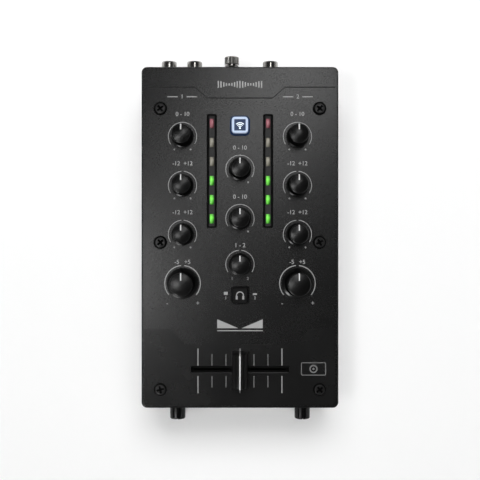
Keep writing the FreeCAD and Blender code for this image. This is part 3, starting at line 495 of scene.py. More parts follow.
def hexagon_nut(corner, bore, place, turn):
    """A chamfered nut. Corner is the radius to its corners."""
    top = JACK_NUT_THICKNESS
    nut = turned("hexagon", [(corner - CHAMFER, 0.0), (corner, CHAMFER_RISE), (corner, top - CHAMFER_RISE),
                             (corner - CHAMFER, top)], sides=6)
    hole = turned("hole", [(bore + 2 * CHAMFER, -CHAMFER), (bore, CHAMFER), (bore, top - CHAMFER),
                           (bore + 2 * CHAMFER, top + CHAMFER)])
    cut_out(nut, hole)
    return put(nut, place, turn)


jack_nuts = []
for name in ("phones_socket", "phones_mini_socket", "aux_socket"):
    corner, nose = (PHONES_NUT, PHONES_NOSE) if name == "phones_socket" else (MINI_NUT, MINI_NOSE)
    x, y, z = mount_places[name]
    facing = REARWARD if y > 0 else FORWARD
    jack_nuts.append(hexagon_nut(corner, nose + LOOSE, (x, math.copysign(WALL_Y, y), z), facing))
fit(joined("hexagon_nuts", jack_nuts), nickel, "chassis", "nickel", "jack_nuts")

# Front knobs: small push-on knobs of black plastic with twelve flutes and a pointer groove, on the
# shafts of two little pots behind the front wall.

dress(socket_plastic, "front_pot_bodies")


def strip(name, path, width, thickness):
    """A band that runs through (y, z) points, as wide along X as given, with its thickness below."""
    (y, z), (next_y, next_z) = path[:2]
    bpy.ops.mesh.primitive_plane_add(size=1, location=(0, (y + next_y) / 2 * MM, z * MM))
    band = bpy.context.object
    band.scale = (width * MM, abs(next_y - y) * MM, 1)
    bpy.ops.object.transform_apply()
    bpy.ops.object.mode_set(mode="EDIT")
    pick("EDGE", lambda at, edge: abs(at.y - next_y) < 1e-3)
    bpy.ops.transform.translate(value=(0, 0, (next_z - z) * MM))
    for (y, z), (next_y, next_z) in zip(path[1:], path[2:]):
        step = (0, (next_y - y) * MM, (next_z - z) * MM)
        bpy.ops.mesh.extrude_edges_move(TRANSFORM_OT_translate={"value": step})
    bpy.ops.mesh.select_all(action="SELECT")
    bpy.ops.mesh.normals_make_consistent(inside=False)
    done(band, name)
    if thickness:
        modifier = band.modifiers.new("thickness", "SOLIDIFY")
        modifier.thickness = thickness * MM
        modifier.offset = -1
        bpy.ops.object.modifier_apply(modifier=modifier.name)
    return band


FLUTES = 12
FLUTE_SHARE = 0.9
FRONT_RADIUS = 4.25
FRONT_BORE = 3.05
FRONT_BORE_DEPTH = 6.9
POINTER_GROOVE = 0.7
GROOVE_SINK = 0.3
front_low, front_high = span("curve_knob")
front_length = front_high[1] - front_low[1]
front_z = mount_places["phones_socket"][2]
knob_plastic = surface("knob_plastic", paint(7), 0.34, 0.5, 0.004, shine=0.25)


def in_flute(at, point):
    """Every sixth point round the side of the knob, where a flute runs."""
    step = round(math.atan2(at.y, at.x) / math.pi * 3 * FLUTES)
    return step % 6 == 0 and math.hypot(at.x, at.y) > FRONT_RADIUS - 0.3


for name in ("curve", "phones"):
    seat = (middle(f"{name}_shaft")[0], front_high[1], front_z)
    knob = turned(f"{name}_fluted_knob", [
        (FRONT_BORE, FRONT_BORE_DEPTH), (FRONT_BORE, 0.0), (FRONT_RADIUS - 0.2, 0.0), (FRONT_RADIUS, 0.2),
        (FRONT_RADIUS, front_length - 0.6), (FRONT_RADIUS - 0.15, front_length - 0.25),
        (FRONT_RADIUS - 0.5, front_length), (FRONT_RADIUS - 1.2, front_length),
        (FRONT_RADIUS - 1.5, front_length - 0.15),
    ], sides=6 * FLUTES)
    bpy.ops.object.mode_set(mode="EDIT")
    pick("VERT", in_flute)
    widen(FLUTE_SHARE)
    done(knob, knob.name, 25)
    half = POINTER_GROOVE / 2
    clear = (half, FRONT_RADIUS + 1.0, front_length + 1.0)
    for low in ((-half, FRONT_RADIUS - GROOVE_SINK, -1.0), (-half, 0.0, front_length - GROOVE_SINK)):
        cut_out(knob, done(block(low, clear), "groove"))
    put(knob, seat, FORWARD)
    fit(knob, knob_plastic, f"{name}_control", "knob_plastic", f"{name}_knob")

# Pots, fader unit and switches under the cover: plated pot cans and shafts, a blackened steel fader
# frame whose two polished rails carry the plastic carriage, and square push switches.

dress(zinc, "pot_bodies", *[name for name in nodes if name.endswith(("_shaft", "_shaft_a", "_shaft_b"))])
dress(surface("blackened_steel", paint(6), 0.7, 0.6, 0.01, shine=0.2), "fader_frame")
dress(surface("polished_rail", paint(200), 0.15, 0.8, 0.003, metal=1.0), "fader_rails")
dress(surface("carriage_plastic", paint(5), 0.6, 0.5, 0.01, shine=0.2), "fader_carriage")
dress(surface("switch_plastic", paint(40), 0.5, 0.6, 0.01), "wireless_switch", "cue_switch")

# Level meters: two holders that drop into slots of the cover, each with a sunk grey channel and six moulded
# light bars. Their near-black rims are painted shade of the gap round each holder. The three green bars at
# the bottom are lit, and the unlit red and amber ones have a faint painted glow.

METER_X = 15.1
CHANNEL_HALF = 1.45
RIM_DEPTH = 0.3
holder_low, holder_high = span("meter_holders")
meter_black, place = new_finish("meter_black", {"Specular IOR Level": 0.1})
off_middle = abs((place.axis("X") % (2 * METER_X)) - METER_X)
# Painted shade: the top rim and the faces outside the channel are near-black, for the gap round the holder.
rim = (place.axis("Z") > holder_high[2] - RIM_DEPTH) + (off_middle > CHANNEL_HALF)
feed(meter_black, {
    "Base Color": rim.blend(paint(50), paint(4)),
    "Roughness": 0.4 + place.noise(1.2) * 0.2,
    "Normal": place.noise(0.3).bump(0.008),
})
dress(meter_black, "meter_holders")

LED_PITCH = 10.24
LED_SIZE = (2.3, 5.0)
LED_EDGE = 0.3
LAMP_SPOT = (-0.4, 0.5)
led_low, led_high = span("red_leds")
top_row_y = (led_low[1] + led_high[1]) / 2


def light_bar():
    """One light bar at the origin, with its top and upright edges rounded."""
    half_x, half_y = LED_SIZE[0] / 2, LED_SIZE[1] / 2
    foot = led_low[2] - led_high[2]
    lens = block((-half_x, -half_y, foot), (half_x, half_y, 0.0))
    pick("EDGE", lambda at, edge: at.z > -0.01 or abs(at.z - foot / 2) < 0.01)
    bevel(LED_EDGE, 3)
    return done(lens, "light_bar")


def lamp_finish(name, dim, bright, glow):
    """Tinted light bar, brightest at its upper left where the lamp sits. Glow is its light level."""
    finish, place = new_finish(name, {"Emission Strength": glow, "Coat Weight": 0.3})
    along = ((place.axis("Y") - top_row_y + LED_PITCH / 2) % LED_PITCH) - LED_PITCH / 2
    across = (place.axis("X") % (2 * METER_X)) - METER_X
    edge = abs(along - LAMP_SPOT[1]) * (0.9 / LED_SIZE[1]) + abs(across - LAMP_SPOT[0]) * (1.0 / LED_SIZE[0])
    core = 1.1 - edge * 1.2 + (place.noise(1.0) - 0.5) * 0.2
    colour = core.blend(dim, bright)
    return feed(finish, {
        "Base Color": colour,
        "Emission Color": colour,
        "Roughness": 0.3 + place.noise(0.8) * 0.15,
        "Normal": place.noise(0.5).bump(0.01),
    })


# The red and amber bars are unlit; their faint glow is painted light.
led_rows = {
    "red": ([0], lamp_finish("red_lamp", paint(78, 30, 38), paint(158, 92, 102), 0.05)),
    "amber": ([1, 2], lamp_finish("amber_lamp", paint(74, 72, 62), paint(142, 138, 126), 0.05)),
    "green": ([3, 4, 5], lamp_finish("green_lamp", paint(18, 84, 6), paint(104, 206, 66), 0.6)),
}
for colour, (rows, finish) in led_rows.items():
    spots = [(side * METER_X, top_row_y - row * LED_PITCH, led_high[2]) for side in (-1, 1) for row in rows]
    bars = spread(f"{colour}_light_bars", light_bar(), spots)
    fit(bars, finish, "chassis", f"led_{colour}", f"{colour}_leds")

# Top cover: folded steel sheet with rolled edges, powder coated in a fine black texture. Its bends and skirt,
# but for the rear, are painted darker and duller as painted shade. Its holes, screw dimples and the panel
# groove are pressed or punched before coating.

cover_low, cover_high = span("top_cover")
TOP = cover_high[2]
SHEET = 1.2
SHAFT_HOLE = 3.6
SCREW_CLEARANCE = 1.55
DIMPLE_DEPTH = 0.5
DIMPLE_RADIUS = 3.5
channel_knobs = [f"{kind}_knob_{side}" for side in "ab" for kind in ("gain", "treble", "bass", "filter")]
centre_knobs = ["aux_knob", "main_knob", "cue_mix_knob"]
knob_spots = {name: middle(name)[:2] for name in channel_knobs + centre_knobs}
screw_low, screw_high = span("cover_screws")
SCREW_HEAD = 2.9
HEAD_WASHER = 3.4
SCREW_MIDDLE_Y = -2.7
screw_x = screw_high[0] - HEAD_WASHER
screw_spots = [(side * screw_x, y) for side in (-1, 1)
               for y in (screw_high[1] - HEAD_WASHER, SCREW_MIDDLE_Y, screw_low[1] + HEAD_WASHER)]


def rounded_block(low, high, corner, steps=6):
    """A box with round upright corners, left in edit mode."""
    made = block(low, high)
    pick("EDGE", lambda at, edge: abs(at.z - (low[2] + high[2]) / 2) < 1e-3)
    bevel(corner, steps)
    outward()
    return made


def tile(name, x, y, width, length, low, high, corner):
    """A finished block with round upright corners, about a spot and from one height to another."""
    near = (x - width / 2, y - length / 2, low)
    far = (x + width / 2, y + length / 2, high)
    return done(rounded_block(near, far, corner), name)


def plate(name, points, low, high):
    """A flat plate: one point is drawn on from corner to corner, filled and raised."""
    bpy.ops.mesh.primitive_plane_add(size=MM, location=(points[0][0] * MM, points[0][1] * MM, low * MM))
    bpy.ops.object.transform_apply()
    made = bpy.context.object
    bpy.ops.object.mode_set(mode="EDIT")
    bpy.ops.mesh.select_mode(type="VERT")
    bpy.ops.mesh.select_all(action="SELECT")
    bpy.ops.mesh.merge(type="CENTER")
    for before, after in zip(points, points[1:]):
        step = ((after[0] - before[0]) * MM, (after[1] - before[1]) * MM, 0)
        bpy.ops.mesh.extrude_vertices_move(TRANSFORM_OT_translate={"value": step})
    bpy.ops.mesh.select_all(action="SELECT")
    bpy.ops.mesh.edge_face_add()
    extrude(high - low)
    outward()
    return done(made, name)


CORNER = 3.0
BEND = 0.8
cover = rounded_block(cover_low, cover_high, CORNER, 8)
pick("EDGE", lambda at, edge: abs(at.z - TOP) < 1e-3)
bevel(BEND, 5)
pick("FACE", lambda at, face: abs(at.z - cover_low[2]) < 1e-3)
bpy.ops.mesh.inset(thickness=SHEET * MM)
extrude(cover_high[2] - cover_low[2] - SHEET)
outward()
done(cover, "formed_cover")

ABOVE = TOP + 1.0
BELOW = TOP - 2 * SHEET
cutters = []
for x, y in knob_spots.values():
    cutters.append(put(turned("hole", [(SHAFT_HOLE, 0.0), (SHAFT_HOLE, ABOVE - BELOW)]), (x, y, BELOW)))
for x, y in screw_spots:
    dimple = TOP - DIMPLE_DEPTH - BELOW
    rings = [(SCREW_CLEARANCE, 0.0), (SCREW_CLEARANCE, dimple), (DIMPLE_RADIUS, dimple),
             (DIMPLE_RADIUS, ABOVE - BELOW)]
    cutters.append(put(turned("dimple", rings), (x, y, BELOW)))
meter_y = (holder_low[1] + holder_high[1]) / 2
meter_length = holder_high[1] - holder_low[1] + 0.1
METER_WIDTH = 5.1
wireless_y = middle("wireless_button")[1]
cue_y = middle("cue_button")[1]
fader_y = middle("fader_cap")[1]
WIRELESS_SIZE = 8.8
WIRELESS_HOLE = WIRELESS_SIZE + 1.2
WIRELESS_CORNER = 2.5
CUE_HOLE = 9.1
CUE_CORNER = 1.15
SLOT = (52.8, 3.8)
SLOT_CORNER = 0.8
openings = [
    (-METER_X, meter_y, METER_WIDTH, meter_length, SLOT_CORNER),
    (METER_X, meter_y, METER_WIDTH, meter_length, SLOT_CORNER),
    (0.0, wireless_y, WIRELESS_HOLE, WIRELESS_HOLE, WIRELESS_CORNER),
    (0.0, cue_y, CUE_HOLE, CUE_HOLE, CUE_CORNER),
    (0.0, fader_y, *SLOT, SLOT_CORNER),
]
for x, y, width, length, corner in openings:
    cutters.append(tile("opening", x, y, width, length, BELOW, ABOVE, corner))

GROOVE_WIDTH = 0.6
GROOVE_DEPTH = 0.35
RIM_ROUND = 0.2
EDGE_LAND = 1.6
panel_x = cover_high[0] - EDGE_LAND
GROOVE_REAR = 80.5
GROOVE_DIP = 74.7
DIP_TOP = 24.0
DIP_FOOT = 17.5
groove_path = [(-panel_x, GROOVE_REAR), (-DIP_TOP, GROOVE_REAR), (-DIP_FOOT, GROOVE_DIP),
               (DIP_FOOT, GROOVE_DIP), (DIP_TOP, GROOVE_REAR), (panel_x, GROOVE_REAR)]
rear_edge = [(x, y + GROOVE_WIDTH / 2) for x, y in groove_path]
front_edge = [(x, y - GROOVE_WIDTH / 2) for x, y in reversed(groove_path)]
cutters.append(plate("groove", rear_edge + front_edge, TOP - GROOVE_DEPTH, ABOVE))
cover_cutter = joined("cover_cutter", cutters)
cut_out(cover, cover_cutter, keep=True)
bpy.ops.object.mode_set(mode="EDIT")


def is_rim(at, edge):
    """An edge of a punched opening on the cover's upper face."""
    flat = all(abs(corner.co.z / MM - TOP) < 1e-3 for corner in edge.verts)
    ups = [face.normal.z > 0.9 for face in edge.link_faces]
    inset = min(cover_high[0] - abs(at.x), cover_high[1] - abs(at.y))
    on_groove = at.y > GROOVE_DIP - GROOVE_WIDTH
    return flat and any(ups) and not all(ups) and inset > 2 * BEND and not on_groove


pick("EDGE", is_rim)
bevel(RIM_ROUND, 2)
done(cover, "formed_cover", 40)
modifier = cover.modifiers.new("flats", "WEIGHTED_NORMAL")
modifier.keep_sharp = True
bpy.ops.object.modifier_apply(modifier=modifier.name)

powder_coat, place = new_finish("powder_coat", {})
clouds = place.noise(22, 4.0)
beads = place.noise(0.55, 1.0)
sunk = 1.0 - (place.axis("Z") > TOP - GROOVE_DEPTH / 2)
feed(powder_coat, {
    "Base Color": (clouds * 0.4 + beads * 0.6).blend(paint(6), paint(24)),
    "Roughness": 0.2 + clouds * 0.05 + beads * 0.08 + sunk * 0.2,
    "Normal": beads.bump(0.004),
})
fit(cover, powder_coat, "chassis", "cover_paint", "top_cover")
# Painted shade: the bends and skirt, all but the rear edge, get a darker, duller coat.
bend_shade_coat = surface("bend_shade_coat", paint(9), 0.6, 0.55, 0.004, shine=0.1)
cover.data.materials.append(bend_shade_coat)
bpy.ops.object.mode_set(mode="EDIT")


def is_bend(at, face):
    """A face of the skirt, or of the rolled edge on every side but the rear."""
    outer = max(abs(at.x) - cover_high[0], cover_low[1] - at.y) > -BEND
    rolled = outer and face.normal.z < 0.99 and cover_high[1] - at.y > BEND
    return rolled or (at.y > cover_high[1] - BEND and abs(face.normal.z) < 0.1)


pick("FACE", is_bend)
cover.active_material_index = 1
bpy.ops.object.material_slot_assign()
bpy.ops.object.mode_set(mode="OBJECT")

# Fader panel: a thin film with a smooth satin face, bonded over the front of the cover. It is cut
# round the fader slot and the two front screws.

FILM_TOP = TOP + 0.12
FILM_REAR = -49.0
FILM_DIP = -57.3
FILM_DIP_TOP = 37.4
FILM_DIP_FOOT = 29.5
BEDDED = 0.02
film_front = cover_low[1] + EDGE_LAND
film_outline = [(-panel_x, film_front), (panel_x, film_front), (panel_x, FILM_REAR),
                (FILM_DIP_TOP, FILM_REAR), (FILM_DIP_FOOT, FILM_DIP), (-FILM_DIP_FOOT, FILM_DIP),
                (-FILM_DIP_TOP, FILM_REAR), (-panel_x, FILM_REAR)]
film = plate("fader_panel_film", film_outline, TOP - BEDDED, FILM_TOP)
cut_out(film, cover_cutter)
film_satin = surface("film_satin", paint(22), 0.26, 1.6, 0.001, shine=0.35)
fit(film, film_satin, "chassis", "cover_paint")

# Fader slot: a pale strip along the front of the slot is a painted highlight of the film's cut edge, brighter
# towards +X. Two strips of black felt below it close the slot round the stem of the carriage and keep dust
# out;
# the felt is painted darker to stand for the shade in the slot.

SEAL_LENGTH = SLOT[0] - 1.6
SEAL_SLIT = 1.35
SEAL_DEPTH = 0.85
SEAL_THICKNESS = 0.3
CUT_EDGE = 0.35


def slab(name, x, y, width, length, low, high):
    """A flat rectangle about a spot, from one height to another."""
    left, right = x - width / 2, x + width / 2
    front, rear = y - length / 2, y + length / 2
    return plate(name, [(left, front), (right, front), (right, rear), (left, rear)], low, high)


edge_y = fader_y - (SLOT[1] - CUT_EDGE) / 2
film_edge_highlight = slab("film_edge_highlight", 0.0, edge_y, SEAL_LENGTH, CUT_EDGE, TOP - BEDDED, FILM_TOP)
# Painted highlight of the cut edge, brighter towards +X.
edge_highlight_paint, place = new_finish("edge_highlight_paint", {"Specular IOR Level": 0.2})
feed(edge_highlight_paint, {
    "Base Color": (place.axis("X") * (1 / SEAL_LENGTH) + 0.5).blend(paint(22), paint(52)),
    "Roughness": 0.4 + place.noise(0.8) * 0.1,
    "Normal": place.noise(0.4).bump(0.002),
})
fit(film_edge_highlight, edge_highlight_paint, "chassis", "cover_paint")
seal_top = TOP - SEAL_DEPTH
seal_width = (SLOT[1] - SEAL_SLIT) / 2
seals = []
for side in (-1, 1):
    seal_y = fader_y + side * (SLOT[1] - seal_width) / 2
    seals.append(slab("seal", 0.0, seal_y, SEAL_LENGTH, seal_width, seal_top - SEAL_THICKNESS, seal_top))
# Painted shade: the black felt is darkened further to stand for the shade deep in the slot.
felt = surface("felt", paint(15), 0.95, 0.3, 0.03, shine=0.1)
fit(joined("slot_seals", seals), felt, "chassis", "cover_paint")

# Markings: ink screen-printed on the cover and its film, about as thick as paint and white but for one
# grey sign. Plain dial rings, scale lines, numbers and simple signs.

INK = 0.03
DIAL = (7.76, 0.32, 125)
DIAL_GAP = 3.2
FILTER_DIAL = (9.78, 0.45, 131)
FILTER_DIAL_GAP = 2.56
RING_STEPS = 144
ink_white = surface("ink_white", paint(160), 0.6, 0.25, 0.004)
marks = []


def dial_ring(radius, line, sweep, gap, height):
    """An arc of ink, open below and, if a gap is given, at twelve o'clock. Angles in degrees."""
    bpy.ops.mesh.primitive_circle_add(vertices=RING_STEPS, radius=radius * MM, fill_type="NOTHING")
    ring = bpy.context.object
    bpy.ops.object.mode_set(mode="EDIT")

    def outside(at, point):
        angle = abs(math.degrees(math.atan2(at.x, at.y)))
        return angle > sweep or angle < gap

    pick("VERT", outside)
    bpy.ops.mesh.delete(type="VERT")
    bpy.ops.mesh.select_mode(type="EDGE")
    bpy.ops.mesh.select_all(action="SELECT")
    bpy.ops.mesh.extrude_edges_move(TRANSFORM_OT_translate={"value": (0, 0, 0)})
    widen(1 - line / radius)
    bpy.ops.mesh.select_mode(type="FACE")
    bpy.ops.mesh.select_all(action="SELECT")
    extrude(INK)
    outward()
    return put(done(ring, "dial_ring"), (0, 0, height))


def dot(x, y, radius, height=TOP):
    return put(turned("dot", [(radius, 0.0), (radius, INK)], sides=16), (x, y, height))


def bar(x, y, width, length, height=TOP):
    return slab("bar", x, y, width, length, height, height + INK)


def number(text, x, y, cap):
    """Plain figures, centred on a spot of the cover. Cap is the height of a figure."""
    bpy.ops.object.text_add(location=(0, 0, 0))
    figures = bpy.context.object
    figures.data.body = text
    figures.data.size = cap / 0.7 * MM
    figures.data.align_x = "CENTER"
    figures.data.align_y = "CENTER"
    figures.data.extrude = INK / 2 * MM
    figures.data.offset = BOLD * MM
    bpy.ops.object.convert(target="MESH")
    return put(bpy.context.object, (x, y, TOP + INK / 2))


CAP = 2.2
SMALL_CAP = 1.5
BOLD = 0.03
DOT_RADIUS = 0.45
DOT_REACH = 8.2
DOT_TURN = math.radians(148)
dot_x = DOT_REACH * math.sin(DOT_TURN)
dot_y = DOT_REACH * math.cos(DOT_TURN)
FILTER_SIGN = (8.2, -10.7)
CUE_MIX_FIGURE = (4.2, -7.6)
labels = {"gain": (12.0, "0 - 10"), "treble": (11.75, "-12  +12"), "bass": (11.8, "-12  +12"),
          "filter": (11.4, "-5   +5"), "aux": (11.5, "0 - 10"), "main": (11.6, "0 - 10"),
          "cue_mix": (10.2, "1 - 2")}
for name, (x, y) in knob_spots.items():
    kind = name.split("_knob")[0]
    rise, text = labels[kind]
    marks.append(number(text, x, y + rise, CAP))
    if kind == "filter":
        ring = dial_ring(*FILTER_DIAL, FILTER_DIAL_GAP, TOP)
        for side, sign in ((-1, "-"), (1, "+")):
            marks.append(number(sign, x + side * FILTER_SIGN[0], y + FILTER_SIGN[1], CAP))
    else:
        gap = 0.0 if kind in ("gain", "aux", "main") else DIAL_GAP
        ring = dial_ring(*DIAL, gap, TOP)
    marks.append(put(ring, (x, y, 0)))
    if kind == "cue_mix":
        for side, figure in ((-1, "1"), (1, "2")):
            marks.append(number(figure, x + side * CUE_MIX_FIGURE[0], y + CUE_MIX_FIGURE[1], SMALL_CAP))
    elif kind != "filter":
        for side in (1,) if kind in ("aux", "main") else (-1, 1):
            marks.append(dot(x + side * dot_x, y + dot_y, DOT_RADIUS))

CHANNEL_X = 31.0
CHANNEL_Y = 75.4
CHANNEL_LINE = (5.6, 0.45)
CHANNEL_REACH = 5.2
for side, figure in ((-1, "1"), (1, "2")):
    marks.append(number(figure, side * CHANNEL_X, CHANNEL_Y, CAP))
    for reach in (-CHANNEL_REACH, CHANNEL_REACH):
        marks.append(bar(side * CHANNEL_X + reach, CHANNEL_Y, *CHANNEL_LINE))

BADGE_Y = 82.0
BADGE_STEPS = 8
BADGE_PITCH = 1.45
BADGE_BAR = 0.7
for step in range(-BADGE_STEPS, BADGE_STEPS + 1):
    height = 1.2 + 2.6 * math.cos(step * math.pi / BADGE_STEPS) ** 2
    marks.append(bar(step * BADGE_PITCH, BADGE_Y, BADGE_BAR, height))

RAMP_FOOT = -48.7
RAMP_HEAD = -43.9
RAMP_IN = 0.9
RAMP_OUT = 12.2
for side in (-1, 1):
    corners = [(side * RAMP_IN, RAMP_FOOT), (side * RAMP_OUT, RAMP_FOOT), (side * RAMP_OUT, RAMP_HEAD)]
    marks.append(plate("ramp", corners, TOP, TOP + INK))
marks.append(bar(0.0, RAMP_FOOT - 1.3, 2 * RAMP_OUT, 0.5))

CUE_FIGURE_Y = -32.6
for figure, x, y, width, length in (("1", -7.6, -30.0, 2.1, 1.6), ("2", 8.0, -30.4, 2.2, 0.9)):
    marks.append(bar(x, y, width, length))
    marks.append(number(figure, x, CUE_FIGURE_Y, SMALL_CAP))

TICK_PITCH = 7.5
END_TICK = (0.46, 9.15)
MIDDLE_TICK = (0.35, 9.15)
SHORT_TICK = (0.2, 6.1)
REAR_TICKS = 2.1
FRONT_TICKS = 3.5
for step in range(-3, 4):
    width, reach = {-3: END_TICK, 0: MIDDLE_TICK, 3: END_TICK}.get(step, SHORT_TICK)
    for side, near in ((1, REAR_TICKS), (-1, FRONT_TICKS)):
        marks.append(bar(step * TICK_PITCH, fader_y + side * (near + reach / 2), width, reach, FILM_TOP))
fit(joined("printed_marks", marks), ink_white, "chassis", "cover_paint")

ink_grey = surface("ink_grey", paint(112), 0.6, 0.25, 0.004)
SIGN = (39.4, -70.5)
SIGN_SIZE = (13.4, 7.0)
SIGN_LINE = 0.4
SIGN_RING = (1.5, 2.2)
frame_line = tile("frame_line", *SIGN, *SIGN_SIZE, FILM_TOP, FILM_TOP + INK, 0.8)
inside = [size - 2 * SIGN_LINE for size in SIGN_SIZE]
hollow = tile("hollow", *SIGN, *inside, FILM_TOP - 1, FILM_TOP + 1, 0.5)
cut_out(frame_line, hollow)
inner, outer = SIGN_RING
record_ring = turned("record_ring", [(inner, 0.0), (outer, 0.0), (outer, INK), (inner, INK)], hollow=True)
put(record_ring, (*SIGN, FILM_TOP))
grey_sign = joined("grey_sign", [frame_line, record_ring, dot(*SIGN, 0.6, FILM_TOP)])
fit(grey_sign, ink_grey, "chassis", "cover_paint")

# Push buttons: a milky cap lit from below with a tinted window and a plain radio-wave sign, in a frame tinted
# dark blue as painted glow of the cap, and a black cap with a white headphone sign. Both move on their
# switches.

lit_cap, place = new_finish("lit_cap", {"Emission Strength": 0.35})
rise = (place.axis("Z") - TOP) * 0.25
glow = rise.blend(paint(70, 86, 116), paint(172, 186, 208))
feed(lit_cap, {
    "Base Color": glow,
    "Emission Color": glow,
    "Roughness": 0.35 + place.noise(1.0) * 0.1,
    "Normal": place.noise(0.6).bump(0.008),
})
dress(lit_cap, "wireless_button")
FRAME_SIZE = WIRELESS_SIZE + 1.9
FRAME_HOLE = WIRELESS_SIZE + 0.2
FRAME_RISE = 0.35
bezel = tile("wireless_frame", 0.0, wireless_y, FRAME_SIZE, FRAME_SIZE, TOP - BEDDED, TOP + FRAME_RISE, 2.6)
hole = tile("hole", 0.0, wireless_y, FRAME_HOLE, FRAME_HOLE, TOP - 1.0, TOP + 1.0, 2.0)
cut_out(bezel, hole)
# Painted light: the frame's dark blue stands for the glow that the lit cap spills round its edge.
blue_glow_frame = surface("blue_glow_frame", paint(10, 38, 72), 0.5, 0.5, 0.01, shine=0.2)
fit(bezel, blue_glow_frame, "chassis", "meter_black")

WINDOW = 6.2
SIGN_SINK = 0.35
window_floor = span("wireless_button")[1][2] - SIGN_SINK
sign_z = window_floor + 0.2
window = tile("wireless_window", 0.0, wireless_y, WINDOW, WINDOW, window_floor - BEDDED, sign_z, 0.5)
navy_window = surface("navy_window", paint(52, 65, 92), 0.4, 0.8, 0.005, shine=0.12)
fit(window, navy_window, "wireless_push", "lit_button")


def arc(radius, line, sweep, y, height):
    """An arc of ink about a spot on the middle line."""
    return put(dial_ring(radius, line, sweep, 0.0, height), (0, y, 0))


WAVE_LINE = 0.45
WAVE_SWEEP = 45
wave_foot = wireless_y - 1.7
waves = [dot(0.0, wave_foot, 0.5, sign_z)]
waves += [arc(radius, WAVE_LINE, WAVE_SWEEP, wave_foot, sign_z) for radius in (1.3, 2.2, 3.1)]
sign_white, place = new_finish("sign_white", {"Emission Strength": 0.6})
tone = place.noise(0.8).blend(paint(200, 212, 222), paint(230, 238, 242))
feed(sign_white, {"Base Color": tone, "Emission Color": tone, "Roughness": 0.4 + place.noise(0.5) * 0.2})
fit(joined("wireless_sign", waves), sign_white, "wireless_push", "lit_button")

cue_black = surface("cue_black", paint(6), 0.5, 0.5, 0.012, shine=0.25)
dress(cue_black, "cue_button")
cue_floor = span("cue_button")[1][2] - SIGN_SINK
HEADBAND = (2.1, 0.55, 112)
EAR_PAD = (1.0, 1.9)
headband = arc(*HEADBAND, cue_y + 0.1, cue_floor)
ear_pads = [bar(side * 1.75, cue_y - 1.15, *EAR_PAD, cue_floor) for side in (-1, 1)]
fit(joined("headphone_sign", [headband, *ear_pads]), ink_white, "cue_push", "cue_plastic")

# Cover screws: low pan heads of blackened steel with a cross recess, each with its own fixed washer,
# one in every dimple of the cover. They thread into the brass inserts below.

screw_seat = TOP - DIMPLE_DEPTH
WASHER = 0.25
HEAD_FLAT = 1.3
ARM_WIDTH = 1.25
ARM_LENGTH = 4.2
ARM_FLOOR = 0.2
ARM_TAPER = 0.9
SHANK = 1.45
SHANK_LENGTH = 9.5
HEAD_RISE = 1.5
head = turned("head", [
    (SHANK, -SHANK_LENGTH), (SHANK, 0.0), (HEAD_WASHER, 0.0), (HEAD_WASHER, WASHER),
    (SCREW_HEAD - 0.05, WASHER), (SCREW_HEAD, WASHER + 0.1), (SCREW_HEAD, 0.9), (SCREW_HEAD - 0.05, 1.15),
    (SCREW_HEAD - 0.2, 1.35), (SCREW_HEAD - 0.45, 1.47), (SCREW_HEAD - 0.7, HEAD_RISE),
    (SCREW_HEAD - 1.0, HEAD_RISE),
])
arms = []
for width, length in ((ARM_WIDTH, ARM_LENGTH), (ARM_LENGTH, ARM_WIDTH)):
    cutter = block((-width / 2, -length / 2, ARM_FLOOR), (width / 2, length / 2, 2.0))
    pick("FACE", lambda at, face: at.z < ARM_FLOOR + 0.01)
    widen(ARM_TAPER)
    arms.append(done(cutter, "arm"))
for cutter in arms:
    cut_out(head, cutter)
SCREW_TURNS = (38, 42, 15, 48, 28, 40)
screw_places = [(x, y, screw_seat) for x, y in screw_spots]
screws = spread("pan_screws", head, screw_places, [(0, 0, math.radians(turn)) for turn in SCREW_TURNS])
zinc_gloss = {"Specular IOR Level": 0.1, "Coat Roughness": 0.33, "Coat IOR": 1.5}
black_zinc, place = new_finish("black_zinc", zinc_gloss)
# Painted light and shade: each head's flat top is lighter, and its cross recess, sides and washer are
# near-black.
raised = place.axis("Z") > screw_seat + HEAD_FLAT
feed(black_zinc, {
    "Base Color": raised.blend(paint(2), paint(22)),
    "Roughness": 0.8 + place.noise(0.8) * 0.1,
    "Coat Weight": raised * 0.9,
    "Normal": place.noise(0.4).bump(0.004),
})
fit(screws, black_zinc, "chassis", "black_screw", "cover_screws")

# Knobs: tapered caps of satin black plastic, pushed onto the pot shafts. Each has a rounded skirt, a low
# crown and a white pointer line let into the crown.

SHAFT_FIT = 3.05
BORE_DEPTH = 10.5
SKIRT = 0.6
FLARE_SLOPE = math.radians(28)
CROWN_RISE = 0.5
CROWN_EDGE = 1.0
KNOB_SHAPES = {"filter": (6.3, 1.4), "plain": (5.2, 0.7)}
POINTER_START = 1.9
POINTER_WIDTH = 0.65
LINE_THICKNESS = 0.1
pointer_white = surface("pointer_white", paint(212), 0.5, 0.4, 0.01)
knob_foot = span("gain_knob_a")[0][2]
knob_top = span("gain_knob_a")[1][2]
knob_gloss = {"Specular IOR Level": 0.04, "Coat Roughness": 0.27, "Coat IOR": 1.5}
knob_satin, place = new_finish("knob_satin", knob_gloss)
level = place.axis("Z")
lacquer = (level > knob_top - 1.1) + (1.0 - (level > knob_foot + 1.5))
feed(knob_satin, {
    "Base Color": place.noise(0.6).blend(paint(3), paint(7)),
    "Roughness": 0.65 + place.noise(6.0) * 0.15,
    "Coat Weight": lacquer * 0.85,
    "Normal": place.noise(0.35).bump(0.003),
})


